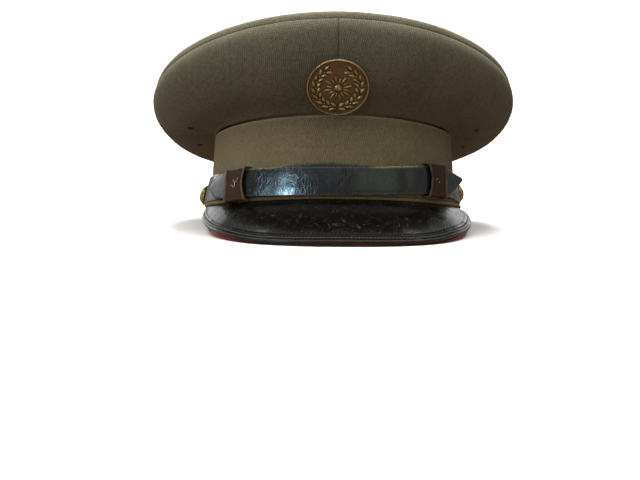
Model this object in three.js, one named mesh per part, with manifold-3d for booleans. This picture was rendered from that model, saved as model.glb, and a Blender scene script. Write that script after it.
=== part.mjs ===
// A peaked service cap of wool cloth and leather, resting on its peak and on the back of its band.
// Millimetres, and degrees in the tables. Cap frame: origin at the middle of the band's lower edge,
// front towards -Y, +Z up. Angles round the cap start at the front and grow towards +X.
// Left and right are as seen from the front.

import * as THREE from 'three';
import { mergeVertices } from 'three/addons/utils/BufferGeometryUtils.js';
import Module from 'manifold-3d';

const wasm = await Module();
wasm.setup();

const { clamp, degToRad: radians, lerp } = THREE.MathUtils;

// Driving dimensions
const GAP = 0.3;
const REST_FLAT = 0.7;
const ROUND_STEPS = 52;
const BAND = { width: 174, length: 202, foot: 1.6, height: 54, wall: 3, taper: 2, dip: 2.5 };
const FLARE = { height: 26, width: 5, rows: 3 };
const WELT = { radius: 1.3, set: -0.3, sides: 8 };
const CROWN = { width: 260, length: 284, setBack: 9, wall: 2, step: 1.2, rows: 7 };
const TOP = { wall: 2, centreRise: 2.5, rings: 3 };
const VISOR = { start: -0.3, drop: 2.1, bow: 2.5, toRight: 2.4, ply: 2.6, columns: 36 };
const UNDER_VISOR = { ply: 1.4, endInset: 2.5 };
const BEAD = { radius: 1.5, proud: 0.2, sides: 7 };
const STRAP = { low: 2.6, width: 19, ply: 1.6, endAngle: 98, endTaper: 7, endWidth: 10, pitch: 4 };
const STRAP_LIFT = { height: 1.5, spread: 12 };
const STRAP_RISE = { height: 2.4, angle: 48, spread: 36 };
const UNDER_STRAP_RISE = { height: 2.6, angle: -5, spread: 30 };
const FRONT_STRAP = { left: -66, right: 68, tip: 7, tipWidth: 2, curlFrom: 53, curl: 4 };
const SLIDE = { wall: 1.1, corner: 1, belly: 0.25, columns: 4 };
const STAPLE = { radius: 0.7, length: 3.6, height: 0.4 };
const BUTTON = { angle: 92, leftHeight: 9, rightHeight: 12, sides: 16 };
const BADGE = { lean: 39, height: 68.3, standOff: 1.5, postRadius: 2.5, postSides: 10, sides: 36 };
const WREATH = { leaves: 16, radius: 13.3, length: 3.4, width: 1.5, height: 1.1, turn: 24, sink: 1.2 };
const ROSETTE = { rays: 8, radius: 4.6, length: 3.8, width: 1.4, height: 1.1, turn: -90, sink: 1.5 };
const VENT = { bore: 1.1, barrel: 1.5, flange: 2.2, lip: 0.6, hole: 1.85, sides: 8 };

// The crown's wall at three stations: the height of its rim, the angle at which it leaves the band and
// how far that holds, its lean at the rim and how far that holds, both as a share of the wall's span.
const CROWN_STATIONS = {
  front: { rimHeight: 106.5, leaveAngle: 50, leaveShare: 0.25, rimLean: 6, rimShare: 0.75 },
  side: { rimHeight: 75, leaveAngle: 29, leaveShare: 0.25, rimLean: 6, rimShare: 0.75 },
  back: { rimHeight: 50, leaveAngle: 22, leaveShare: 0.25, rimLean: 8, rimShare: 0.66 },
};

// How the top rolls over the hoop in the rim: set in from it, and height above it.
const TOP_EDGE = [
  { inset: 0, rise: 0.5 },
  { inset: -0.6, rise: 1.6 },
  { inset: 0.3, rise: 2.9 },
  { inset: 3, rise: 3.8 },
  { inset: 9, rise: 4.1 },
];

// The quarters of the crown, sewn together at the front, the sides and the back.
const QUARTERS = [
  { name: 'quarter_front_right', from: 0, to: 90 },
  { name: 'quarter_back_right', from: 90, to: 180 },
  { name: 'quarter_back_left', from: 180, to: 270 },
  { name: 'quarter_front_left', from: 270, to: 360 },
];

// The air holes on each side, by their angle from the front and their share of the wall's height.
const VENT_PLACES = [
  { number: 1, angle: 77, share: 0.32 },
  { number: 2, angle: 105, share: 0.36 },
  { number: 3, angle: 95, share: 0.68 },
  { number: 4, angle: 110, share: 0.66 },
];

// The visor's edge: how far it reaches from the band along its slope.
const VISOR_EDGE = [
  { angle: 0, reach: 46.8, slope: 33 },
  { angle: 25, reach: 43.5, slope: 33 },
  { angle: 39, reach: 33, slope: 35 },
  { angle: 56, reach: 18, slope: 39 },
  { angle: 68, reach: 11.5, slope: 40 },
  { angle: 79, reach: 8, slope: 40 },
  { angle: 84, reach: 2.2, slope: 40 },
];

const SLIDES = [
  { side: 'left', from: -51, to: -37.5, stapleTurn: 60 },
  { side: 'right', from: 38.5, to: 52, stapleTurn: -35 },
];

const BUTTON_PROFILE = [
  { r: 0, h: 0 },
  { r: 5, h: 0 },
  { r: 7.4, h: 0.9 },
  { r: 7.6, h: 1.6 },
  { r: 7.1, h: 2.3 },
  { r: 5.9, h: 4 },
  { r: 3.4, h: 5.6 },
  { r: 0, h: 6.2 },
];

const BADGE_PROFILE = [
  { r: 0, h: 0 },
  { r: 18.2, h: 0 },
  { r: 19, h: 0.7 },
  { r: 18.8, h: 1.8 },
  { r: 18, h: 2.2 },
  { r: 17.2, h: 1.9 },
  { r: 16.8, h: 1.1 },
  { r: 0, h: 1.6 },
];

const COLOURS = {
  crownCloth: { color: 0x4b4434, roughness: 0.95, metalness: 0 },
  bandCloth: { color: 0x635a43, roughness: 0.95, metalness: 0 },
  visorLeather: { color: 0x1c1a15, roughness: 0.4, metalness: 0 },
  underLeather: { color: 0x5a2a20, roughness: 0.5, metalness: 0 },
  strapLeather: { color: 0x22231f, roughness: 0.25, metalness: 0 },
  slideLeather: { color: 0x39281b, roughness: 0.4, metalness: 0 },
  brass: { color: 0x6f5630, roughness: 0.45, metalness: 0.9 },
  steel: { color: 0x9b9a94, roughness: 0.35, metalness: 1 },
  ventMetal: { color: 0x2a261d, roughness: 0.6, metalness: 0.5 },
};

// Solids

const WELD = 1e-4;
const UP = new THREE.Vector3(0, 0, 1);
const cap = new THREE.Group();

function add(name, geometry, colour) {
  const mesh = new THREE.Mesh(geometry, new THREE.MeshStandardMaterial(COLOURS[colour]));
  mesh.name = name;
  cap.add(mesh);
}

function steps(from, to, count) {
  return Array.from({ length: count + 1 }, (_, i) => from + ((to - from) * i) / count);
}

function turns(count) {
  return steps(0, 2 * Math.PI, count).slice(0, count);
}

// Triangle corners welded into one closed body, without the triangles that shrink to nothing.
function solidGeometry(corners) {
  const welded = mergeVertices(new THREE.BufferGeometry().setFromPoints(corners), WELD);
  const ids = welded.index.array;
  const kept = [];
  for (let t = 0; t < ids.length; t += 3) {
    const [a, b, c] = [ids[t], ids[t + 1], ids[t + 2]];
    if (a !== b && b !== c && c !== a) kept.push(a, b, c);
  }
  welded.setIndex(kept);
  return welded;
}

function bareGeometry(geometry) {
  const position = geometry.toNonIndexed().getAttribute('position');
  const corner = (_, i) => new THREE.Vector3().fromBufferAttribute(position, i);
  return solidGeometry(Array.from({ length: position.count }, corner));
}

// A wall of even thickness behind a grid of points. Each column runs up, columns follow one another
// round the cap towards +X at the front, and the points are on the wall's outer face.
function wallGeometry(grid, thickness, closed = false) {
  const columns = grid.length;
  const last = columns - 1;
  const top = grid[0].length - 1;
  const column = (i) => (closed ? (i + columns) % columns : clamp(i, 0, last));
  const behind = (point, i, j) => {
    const along = grid[column(i + 1)][j].clone().sub(grid[column(i - 1)][j]);
    const up = grid[i][clamp(j + 1, 0, top)].clone().sub(grid[i][clamp(j - 1, 0, top)]);
    const atPole = along.lengthSq() < WELD;
    return point.clone().addScaledVector(atPole ? UP : along.cross(up).normalize(), -thickness);
  };
  const inner = grid.map((points, i) => points.map((point, j) => behind(point, i, j)));
  const corners = [];
  const quad = (a, b, c, d) => corners.push(a, b, c, a, c, d);
  for (let i = 0; i < (closed ? columns : last); i++) {
    const next = (i + 1) % columns;
    for (let j = 0; j < top; j++) {
      quad(grid[i][j], grid[next][j], grid[next][j + 1], grid[i][j + 1]);
      quad(inner[i][j + 1], inner[next][j + 1], inner[next][j], inner[i][j]);
    }
    quad(inner[i][0], inner[next][0], grid[next][0], grid[i][0]);
    quad(grid[i][top], grid[next][top], inner[next][top], inner[i][top]);
  }
  for (let j = 0; j < top && !closed; j++) {
    quad(inner[0][j], grid[0][j], grid[0][j + 1], inner[0][j + 1]);
    quad(grid[last][j], inner[last][j], inner[last][j + 1], grid[last][j + 1]);
  }
  return solidGeometry(corners);
}

// A cord through a row of round sections, closed on itself or capped at both ends.
function cordGeometry(sections, closed = false) {
  const sides = sections[0].length;
  const last = sections.length - 1;
  const corners = [];
  for (let s = 0; s < (closed ? sections.length : last); s++) {
    const here = sections[s];
    const ahead = sections[(s + 1) % sections.length];
    for (let i = 0; i < sides; i++) {
      const j = (i + 1) % sides;
      corners.push(here[i], ahead[i], ahead[j], here[i], ahead[j], here[j]);
    }
  }
  for (let i = 1; i < sides - 1 && !closed; i++) {
    corners.push(sections[0][0], sections[0][i], sections[0][i + 1]);
    corners.push(sections[last][0], sections[last][i + 1], sections[last][i]);
  }
  return solidGeometry(corners);
}

function roundSection(centre, out, up, radius, sides) {
  const spoke = (turn) =>
    centre
      .clone()
      .addScaledVector(out, radius * Math.cos(turn))
      .addScaledVector(up, radius * Math.sin(turn));
  return turns(sides).map(spoke);
}

function turnedGeometry(profile, sides) {
  const lathe = new THREE.LatheGeometry(profile.map(({ r, h }) => new THREE.Vector2(r, h)), sides);
  return bareGeometry(lathe.rotateX(Math.PI / 2));
}

function solidOf(geometry) {
  const vertProperties = new Float32Array(geometry.getAttribute('position').array);
  const triVerts = new Uint32Array(geometry.index.array);
  return new wasm.Manifold(new wasm.Mesh({ numProp: 3, vertProperties, triVerts }));
}

function geometryOf(solid) {
  const mesh = solid.getMesh();
  const geometry = new THREE.BufferGeometry();
  geometry.setAttribute('position', new THREE.BufferAttribute(mesh.vertProperties, 3));
  geometry.setIndex(Array.from(mesh.triVerts));
  return geometry;
}

function joined(geometries) {
  return geometryOf(geometries.map(solidOf).reduce((whole, piece) => whole.add(piece)));
}

function cut(geometry, tools) {
  return geometryOf(tools.map(solidOf).reduce((rest, tool) => rest.subtract(tool), solidOf(geometry)));
}

// A geometry made facing +Z with +Y up, moved to a point and turned to face a direction.
function facing(geometry, point, direction) {
  const across = UP.clone().cross(direction).normalize();
  const basis = new THREE.Matrix4().makeBasis(across, direction.clone().cross(across), direction);
  return geometry.applyMatrix4(basis.setPosition(point));
}

// Band and crown surfaces

function bandHalfWidth(height) {
  const low = clamp(1 - height / FLARE.height, 0, 1);
  const high = clamp((height - FLARE.height) / (BAND.height - FLARE.height), 0, 1);
  return BAND.width / 2 + FLARE.width * low ** 2 - BAND.taper * high;
}

function bandTop(angle) {
  return BAND.height - BAND.dip * Math.sin(angle) ** 2;
}

function bandNormal(angle) {
  return new THREE.Vector3(Math.sin(angle) / BAND.width, -Math.cos(angle) / BAND.length, 0).normalize();
}

function bandPoint(angle, offset, height) {
  const across = bandHalfWidth(height) * Math.sin(angle);
  const ahead = (-BAND.length / 2) * Math.cos(angle);
  return new THREE.Vector3(across, ahead, height).addScaledVector(bandNormal(angle), offset);
}

// A station's value round the cap, as a mean, a tilt from front to back and a saddle.
function stationWave(key) {
  const { front, side, back } = CROWN_STATIONS;
  return {
    mean: (front[key] + back[key]) / 4 + side[key] / 2,
    tilt: (front[key] - back[key]) / 2,
    saddle: (front[key] + back[key]) / 4 - side[key] / 2,
  };
}

function station(angle, key) {
  const { mean, tilt, saddle } = stationWave(key);
  return mean + tilt * Math.cos(angle) + saddle * Math.cos(2 * angle);
}

function rimPoint(angle) {
  const across = (CROWN.width / 2) * Math.sin(angle);
  const ahead = CROWN.setBack - (CROWN.length / 2) * Math.cos(angle);
  return new THREE.Vector3(across, ahead, station(angle, 'rimHeight'));
}

function crownCurve(angle) {
  const foot = bandPoint(angle, -CROWN.step, bandTop(angle)).addScaledVector(UP, GAP);
  const rim = rimPoint(angle);
  const out = rim.clone().sub(foot).setZ(0).normalize();
  const span = foot.distanceTo(rim);
  const leave = radians(station(angle, 'leaveAngle'));
  const lean = radians(station(angle, 'rimLean'));
  const leaveWay = out.clone().multiplyScalar(Math.cos(leave)).setZ(Math.sin(leave));
  const rimWay = out.clone().multiplyScalar(Math.sin(lean)).setZ(Math.cos(lean));
  const low = foot.clone().addScaledVector(leaveWay, station(angle, 'leaveShare') * span);
  const high = rim.clone().addScaledVector(rimWay, -station(angle, 'rimShare') * span);
  return new THREE.CubicBezierCurve3(foot, low, high, rim);
}

function crownFrame(angle, share) {
  const nudge = 0.01;
  const point = crownCurve(angle).getPointAt(share);
  const along = crownCurve(angle + nudge).getPointAt(share).sub(point);
  return { point, normal: along.cross(crownCurve(angle).getTangentAt(share)).normalize() };
}

// A point of the top: a share of the way from its middle to the rim, less an inset, and raised.
function topPoint(angle, share, inset, rise) {
  const { mean, tilt, saddle } = stationWave('rimHeight');
  const centre = new THREE.Vector3(0, CROWN.setBack, 0);
  const out = rimPoint(angle).sub(centre).setZ(0);
  const reach = share - inset / out.length();
  const height = mean + tilt * reach * Math.cos(angle) + saddle * reach ** 2 * Math.cos(2 * angle);
  return centre.addScaledVector(out, reach).setZ(height + rise);
}

// Crown, band and welt

function buildTop() {
  const flat = TOP_EDGE[TOP_EDGE.length - 1];
  const rings = steps(1, 0, TOP.rings).slice(1);
  const rise = (share) => lerp(TOP.centreRise, flat.rise, share);
  const grid = turns(ROUND_STEPS).map((angle) => [
    ...TOP_EDGE.map(({ inset, rise }) => topPoint(angle, 1, inset, rise)),
    ...rings.map((share) => topPoint(angle, share, flat.inset * share, rise(share))),
  ]);
  add('crown_top', wallGeometry(grid, TOP.wall, true), 'crownCloth');
}

const VENTS = VENT_PLACES.flatMap(({ number, angle, share }) => [
  { name: `vent_right_${number}`, angle, share },
  { name: `vent_left_${number}`, angle: 360 - angle, share },
]);

function buildVent({ name, angle, share }) {
  const { point, normal } = crownFrame(radians(angle), share);
  const inside = -CROWN.wall - VENT.lip;
  const profile = [
    { r: VENT.bore, h: inside },
    { r: VENT.barrel, h: inside },
    { r: VENT.barrel, h: GAP },
    { r: VENT.flange, h: GAP },
    { r: VENT.bore, h: GAP + VENT.lip },
    { r: VENT.bore, h: inside },
  ];
  add(name, facing(turnedGeometry(profile, VENT.sides), point, normal), 'ventMetal');
}

function ventHole({ angle, share }) {
  const { point, normal } = crownFrame(radians(angle), share);
  const drill = new THREE.CylinderGeometry(VENT.hole, VENT.hole, 6 * CROWN.wall, VENT.sides);
  return facing(bareGeometry(drill.rotateX(Math.PI / 2)), point, normal);
}

function buildQuarter({ name, from, to }) {
  const seam = GAP / BAND.width;
  const angles = steps(radians(from) + seam, radians(to) - seam, ROUND_STEPS / QUARTERS.length);
  const grid = angles.map((angle) => crownCurve(angle).getSpacedPoints(CROWN.rows));
  const holes = VENTS.filter(({ angle }) => angle > from && angle < to).map(ventHole);
  add(name, cut(wallGeometry(grid, CROWN.wall), holes), 'crownCloth');
}

function buildBand() {
  const heights = (angle) => [...steps(BAND.foot, FLARE.height, FLARE.rows), bandTop(angle)];
  const column = (angle) => heights(angle).map((height) => bandPoint(angle, 0, height));
  const grid = turns(ROUND_STEPS).map(column);
  add('band', wallGeometry(grid, BAND.wall, true), 'bandCloth');
}

function buildWelt() {
  const section = (angle) =>
    roundSection(bandPoint(angle, WELT.set, 0), bandNormal(angle), UP, WELT.radius, WELT.sides);
  add('band_welt', restedOnFloor(cordGeometry(turns(ROUND_STEPS).map(section), true)), 'bandCloth');
}

// Visor

const VISOR_HALF_ANGLE = VISOR_EDGE[VISOR_EDGE.length - 1].angle;
const UNDER_DEPTH = VISOR.ply + 2 * GAP;

const visorEdge = new THREE.CubicInterpolant(
  VISOR_EDGE.map(({ angle }) => angle),
  VISOR_EDGE.flatMap(({ reach, slope }) => [reach, slope]),
  2,
);
visorEdge.settings = { endingStart: THREE.ZeroSlopeEnding, endingEnd: THREE.ZeroCurvatureEnding };

// The visor at an angle: its reach, the ways along and above its slope, and points on it by the way out
// from the band and the depth under its upper face.
function visorFrame(degrees) {
  const [reach, slopeDegrees] = visorEdge.evaluate(Math.abs(degrees));
  const slope = radians(slopeDegrees);
  const out = bandNormal(radians(degrees));
  const along = out.clone().multiplyScalar(Math.cos(slope)).setZ(-Math.sin(slope));
  const above = out.clone().multiplyScalar(Math.sin(slope)).setZ(Math.cos(slope));
  const start = bandPoint(radians(degrees), VISOR.start, -VISOR.drop);
  const bow = (VISOR.bow * reach) / VISOR_EDGE[0].reach;
  const point = (way, depth) => {
    const share = way / reach;
    const arch = 4 * bow * share * (1 - share);
    const point = start.clone().addScaledVector(along, way).addScaledVector(above, arch - depth);
    return point.setX(point.x + VISOR.toRight * share);
  };
  return { reach, along, above, point };
}

function visorAngles(trim) {
  return steps(trim - VISOR_HALF_ANGLE, VISOR_HALF_ANGLE - trim, VISOR.columns);
}

function visorPly(depth, trim, rows, edgeInset) {
  return visorAngles(trim).map((degrees) => {
    const { reach, point } = visorFrame(degrees);
    return steps(reach - edgeInset(degrees), 0, rows).map((way) => point(way, depth));
  });
}

function buildVisor() {
  const upper = visorPly(0, 2, 4, () => 2 * BEAD.radius + GAP);
  add('visor', wallGeometry(upper, VISOR.ply), 'visorLeather');
  const inset = (degrees) => GAP + UNDER_VISOR.endInset * (degrees / VISOR_HALF_ANGLE) ** 2;
  const under = visorPly(UNDER_DEPTH, 3.5, 3, inset);
  add('visor_under', restedOnFloor(wallGeometry(under, UNDER_VISOR.ply)), 'underLeather');
  const section = (degrees) => {
    const { reach, along, above, point } = visorFrame(degrees);
    const centre = point(reach - BEAD.radius, BEAD.radius - BEAD.proud);
    return roundSection(centre, along, above, BEAD.radius, BEAD.sides);
  };
  add('visor_bead', restedOnFloor(cordGeometry(visorAngles(0).map(section))), 'visorLeather');
}

// The floor that the cap rests on touches the peak's lower edge and the back of the welt.
function restLine() {
  const { reach, point } = visorFrame(0);
  const front = point(reach - GAP, UNDER_DEPTH + UNDER_VISOR.ply);
  const back = bandPoint(Math.PI, WELT.set, 0).addScaledVector(UP, -WELT.radius);
  return { front, tilt: Math.atan2(back.z - front.z, back.y - front.y) };
}

function restedOnFloor(geometry) {
  const { front, tilt } = restLine();
  const size = 2 * CROWN.length;
  const ground = new THREE.BoxGeometry(size, 2 * size, size).translate(0, 0, REST_FLAT - size / 2);
  ground.rotateX(tilt).translate(front.x, front.y, front.z);
  return cut(geometry, [bareGeometry(ground)]);
}

// Chin strap: an under ply from button to button, and a front ply with two pointed tips

function swell(value, middle, spread) {
  return 0.5 + 0.5 * Math.cos(Math.PI * clamp(Math.abs(value - middle) / spread, 0, 1));
}

// How far the strap's back stands off the band: close to it, and further out at the slides.
function strapLift(degrees) {
  const past = SLIDES.map(({ from, to }) => Math.max(0, from - degrees, degrees - to));
  return GAP + STRAP_LIFT.height * swell(Math.min(...past), 0, STRAP_LIFT.spread);
}

function strapRise(degrees) {
  return STRAP_RISE.height * swell(degrees, STRAP_RISE.angle, STRAP_RISE.spread);
}

// A point on the strap, which is straight from its lower edge to its upper edge: share 0 to 1.
function strapPoint(degrees, offset, share, rise) {
  const low = bandPoint(radians(degrees), offset, STRAP.low + rise);
  return low.lerp(bandPoint(radians(degrees), offset, STRAP.low + rise + STRAP.width), share);
}

function underStrapShape(degrees) {
  const fromEnd = STRAP.endAngle - Math.abs(degrees);
  const rounding = clamp(1 - fromEnd / STRAP.endTaper, 0, 1) ** 2;
  const { height, angle, spread } = UNDER_STRAP_RISE;
  return {
    offset: strapLift(degrees) + STRAP.ply,
    width: lerp(STRAP.width, STRAP.endWidth, rounding),
    rise: strapRise(degrees) + height * swell(degrees, angle, spread),
  };
}

function frontStrapShape(degrees) {
  const { left, right, tip, tipWidth, curlFrom, curl } = FRONT_STRAP;
  const fromTip = Math.min(degrees - left, right - degrees);
  const curled = clamp((degrees - curlFrom) / (right - curlFrom), 0, 1);
  return {
    offset: strapLift(Math.min(degrees, curlFrom)) + 2 * STRAP.ply + GAP + curl * curled ** 1.5,
    width: lerp(STRAP.width, tipWidth, clamp(1 - fromTip / tip, 0, 1)),
    rise: strapRise(Math.min(degrees, STRAP_RISE.angle)),
  };
}

function strapGeometry(from, to, shape) {
  const grid = steps(from, to, Math.round((to - from) / STRAP.pitch)).map((degrees) => {
    const { offset, width, rise } = shape(degrees);
    const share = (0.5 * width) / STRAP.width;
    return [0.5 - share, 0.5 + share].map((edge) => strapPoint(degrees, offset, edge, rise));
  });
  return wallGeometry(grid, STRAP.ply);
}

function buildStraps() {
  add('strap_under', strapGeometry(-STRAP.endAngle, STRAP.endAngle, underStrapShape), 'strapLeather');
  add('strap_front', strapGeometry(FRONT_STRAP.left, FRONT_STRAP.right, frontStrapShape), 'strapLeather');
}

// A slide's outline round both plies of the strap, as offsets from the band and heights, with its
// share of the way along the slide, which is a little taller at its middle.
function slideOutline(degrees, share) {
  const belly = SLIDE.belly * Math.sin(Math.PI * share);
  const near = strapLift(degrees) - GAP - SLIDE.wall;
  const far = strapLift(degrees) + 2 * STRAP.ply + 2 * GAP + SLIDE.wall;
  const low = STRAP.low + strapRise(degrees) - GAP - SLIDE.wall - belly;
  const high = low + STRAP.width + 2 * (GAP + SLIDE.wall + belly);
  const c = SLIDE.corner;
  return [
    { reach: far - c, height: low },
    { reach: near + c, height: low },
    { reach: near, height: low + c },
    { reach: near, height: high - c },
    { reach: near + c, height: high },
    { reach: far - c, height: high },
    { reach: far, height: high - c },
    { reach: far, height: low + c },
  ];
}

function buildSlide({ side, from, to }) {
  const outlines = steps(from, to, SLIDE.columns).map((degrees) =>
    slideOutline(degrees, (degrees - from) / (to - from)).map(({ reach, height }) =>
      bandPoint(radians(degrees), reach, height),
    ),
  );
  const grid = outlines[0].map((_, corner) => outlines.map((outline) => outline[corner]));
  add(`slide_${side}`, wallGeometry(grid, SLIDE.wall, true), 'slideLeather');
}

function buildStaple({ side, from, to, stapleTurn }) {
  const degrees = (from + to) / 2;
  const face = strapLift(degrees) + 2 * STRAP.ply + 2 * GAP + SLIDE.wall;
  const bar = new THREE.CapsuleGeometry(STAPLE.radius, STAPLE.length, 3, 6);
  bar.rotateZ(radians(stapleTurn - 90)).scale(1, 1, STAPLE.height / STAPLE.radius);
  const seat = strapPoint(degrees, face + GAP + STAPLE.height, 0.5, strapRise(degrees));
  add(`staple_${side}`, facing(bareGeometry(bar), seat, bandNormal(radians(degrees))), 'steel');
}

// A button on the strap, leaning back with it on the flare of the band.
function buildButton(side, degrees, height) {
  const offset = strapLift(degrees) + STRAP.ply + GAP;
  const seat = strapPoint(degrees, offset, (height - STRAP.low) / STRAP.width, 0);
  const up = strapPoint(degrees, offset, 1, 0).sub(strapPoint(degrees, offset, 0, 0));
  const face = UP.clone().cross(bandNormal(radians(degrees))).cross(up).normalize();
  add(`button_${side}`, facing(turnedGeometry(BUTTON_PROFILE, BUTTON.sides), seat, face), 'brass');
}

// Badge: a round plate with a raised rim, a leaf wreath and a rayed rosette, on a post from the cloth

function reliefRing(count, { radius, length, width, height, turn, sink }) {
  return turns(count).map((place) => {
    const leaf = new THREE.SphereGeometry(1, 6, 4).rotateX(Math.PI / 2).scale(length, width, height);
    leaf.rotateZ(Math.PI / 2 + radians(turn)).translate(radius, 0, sink).rotateZ(place);
    return bareGeometry(leaf);
  });
}

function buildBadge() {
  const lean = radians(BADGE.lean);
  const face = new THREE.Vector3(0, -Math.cos(lean), -Math.sin(lean));
  const { postRadius, postSides, standOff } = BADGE;
  const post = new THREE.CylinderGeometry(postRadius, postRadius, 2 * standOff, postSides);
  const plate = joined([
    turnedGeometry(BADGE_PROFILE, BADGE.sides),
    bareGeometry(post.rotateX(Math.PI / 2)),
    ...reliefRing(WREATH.leaves, WREATH),
    ...reliefRing(ROSETTE.rays, ROSETTE),
  ]);
  const nearer = (a, b) => (Math.abs(a.z - BADGE.height) < Math.abs(b.z - BADGE.height) ? a : b);
  const cloth = crownCurve(0).getSpacedPoints(100).reduce(nearer);
  add('badge', facing(plate, cloth.addScaledVector(face, standOff + GAP), face), 'brass');
}

buildTop();
QUARTERS.forEach(buildQuarter);
VENTS.forEach(buildVent);
buildBand();
buildWelt();
buildVisor();
buildStraps();
SLIDES.forEach(buildSlide);
SLIDES.forEach(buildStaple);
buildButton('left', -BUTTON.angle, BUTTON.leftHeight);
buildButton('right', BUTTON.angle, BUTTON.rightHeight);
buildBadge();

// The cap stands on the floor with the middle of its footprint at the origin.
cap.rotation.x = -restLine().tilt;
cap.updateMatrixWorld(true);
const extent = new THREE.Box3().setFromObject(cap, true);
cap.position.set(0, -(extent.min.y + extent.max.y) / 2, -extent.min.z);

const model = new THREE.Group();
model.add(cap);
export default model;
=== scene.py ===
# A peaked service cap of wool cloth and leather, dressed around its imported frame.
# Lengths are metres. The shapes are worked out in the cap's own frame, with the origin at the middle of
# the band's lower edge, the front towards -Y and +Z up, and then leaned back as the cap rests.
# Angles round the cap start at the front and grow towards +X; left and right are as seen from the front.

import math

import bmesh
import bpy
import numpy as np
from bpy.props import FloatProperty, FloatVectorProperty, PointerProperty
from bpy.types import Operator, Panel, PropertyGroup
from mathutils import Matrix, Vector, noise


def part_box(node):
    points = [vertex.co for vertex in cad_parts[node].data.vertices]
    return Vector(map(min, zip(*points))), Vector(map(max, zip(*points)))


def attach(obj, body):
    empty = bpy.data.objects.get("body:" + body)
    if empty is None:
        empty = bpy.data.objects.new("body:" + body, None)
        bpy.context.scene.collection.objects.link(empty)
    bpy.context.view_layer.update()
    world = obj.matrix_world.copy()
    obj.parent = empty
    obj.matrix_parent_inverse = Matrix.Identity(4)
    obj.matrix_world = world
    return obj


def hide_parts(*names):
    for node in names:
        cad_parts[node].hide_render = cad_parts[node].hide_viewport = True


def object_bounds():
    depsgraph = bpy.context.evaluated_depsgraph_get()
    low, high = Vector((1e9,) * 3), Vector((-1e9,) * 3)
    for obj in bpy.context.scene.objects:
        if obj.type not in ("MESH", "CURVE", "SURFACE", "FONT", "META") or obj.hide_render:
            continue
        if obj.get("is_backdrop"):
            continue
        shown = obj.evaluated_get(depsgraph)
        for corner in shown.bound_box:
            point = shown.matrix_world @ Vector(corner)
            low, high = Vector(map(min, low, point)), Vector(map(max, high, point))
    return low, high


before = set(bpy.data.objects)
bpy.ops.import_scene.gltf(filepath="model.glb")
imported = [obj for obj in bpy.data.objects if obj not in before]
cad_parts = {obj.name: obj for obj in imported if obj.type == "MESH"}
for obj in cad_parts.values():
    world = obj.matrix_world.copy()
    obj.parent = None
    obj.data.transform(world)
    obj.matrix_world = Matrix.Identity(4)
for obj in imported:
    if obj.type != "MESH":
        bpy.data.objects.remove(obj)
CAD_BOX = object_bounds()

bl_info = {
    "name": "Peaked Cap",
    "version": (1, 0, 0),
    "blender": (4, 5, 0),
    "location": "View3D > Sidebar > Peaked Cap",
    "description": "Builds a peaked service cap of wool cloth and leather, with its stage",
    "category": "Add Mesh",
}

MM = 0.001
GAP = 0.3 * MM
UP = np.array([0, 0, 1])
LEVEL = np.array([1, 1, 0])

# How many points go round the folded edge of a cloth or a leather.
FOLD_STEPS = 5

# How a cord's end rounds off: shares of its radius, across and along.
ROUND_END = ((0.75, 0.6), (0.3, 0.92))

# How pale the wool is painted over the hoop, a painted highlight for the light from above, and how far down
# the quarters that reaches.
HOOP_HIGHLIGHT = 0.17
HIGHLIGHT_REACH = 9 * MM

# Radius of the badge's field inside its rim, in millimetres.
FIELD_RADIUS = 17.6

# The crown's wall at the front, the side and the back: the angle at which it leaves the band, its lean at
# the rim, and for how large a share of the wall's span each of them holds.
CROWN_STATIONS = {
    "leave_angle": (50, 29, 22),
    "leave_share": (0.25, 0.25, 0.25),
    "rim_lean": (6, 6, 8),
    "rim_share": (0.75, 0.75, 0.66),
}

# How the top rolls over the hoop in the rim: millimetres in from the rim, and above it.
RIM_ROLL = (
    (4.6, -0.7),
    (3.5, -0.2),
    (2.9, 0.6),
    (3.1, 2.1),
    (4.0, 4.3),
    (6.0, 6.2),
    (9.0, 7.2),
    (12.6, 7.4),
)

# The crown's quarters: name, and the angles between which each lies.
QUARTERS = (
    ("quarter_front_right", 0, 90),
    ("quarter_back_right", 90, 180),
    ("quarter_back_left", 180, 270),
    ("quarter_front_left", 270, 360),
)

# The air holes on each side: number, angle from the front, share of the wall's height.
VENT_PLACES = (
    (1, 77, 0.32),
    (2, 105, 0.36),
    (3, 95, 0.68),
    (4, 110, 0.66),
)

# The visor's edge: angle, reach from the band along the slope in millimetres, slope in degrees.
VISOR_EDGE = (
    (0, 46.8, 36.2),
    (25, 44, 36),
    (39, 33.6, 38),
    (56, 20.6, 46),
    (68, 13, 52),
    (74, 9.6, 52),
    (79, 6, 48),
    (82, 3.6, 44),
    (84, 1.8, 40),
)

# The slides on the strap: side, the angles that each covers, and the drop of its outer end in millimetres.
SLIDES = (
    ("left", -48.4, -37.2, 1.4),
    ("right", 39.0, 50.4, 0.2),
)


def linear(code):
    """A scene-linear colour from a six-digit screen colour."""
    shares = [int(code[i:i + 2], 16) / 255 for i in (0, 2, 4)]
    return tuple(s / 12.92 if s <= 0.04045 else ((s + 0.055) / 1.055) ** 2.4 for s in shares)


# Settings

def length(label, text, millimetres):
    return FloatProperty(name=label, description=text, default=millimetres * MM, unit="LENGTH", precision=5)


def turn(label, text, degrees):
    return FloatProperty(name=label, description=text, default=math.radians(degrees), subtype="ANGLE")


def colour(label, text, code):
    return FloatVectorProperty(
        name=label, description=text, default=linear(code), size=3, min=0, max=1, subtype="COLOR"
    )


def power(label, text, watts):
    return FloatProperty(name=label, description=text, default=watts, min=0, subtype="POWER")


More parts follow.
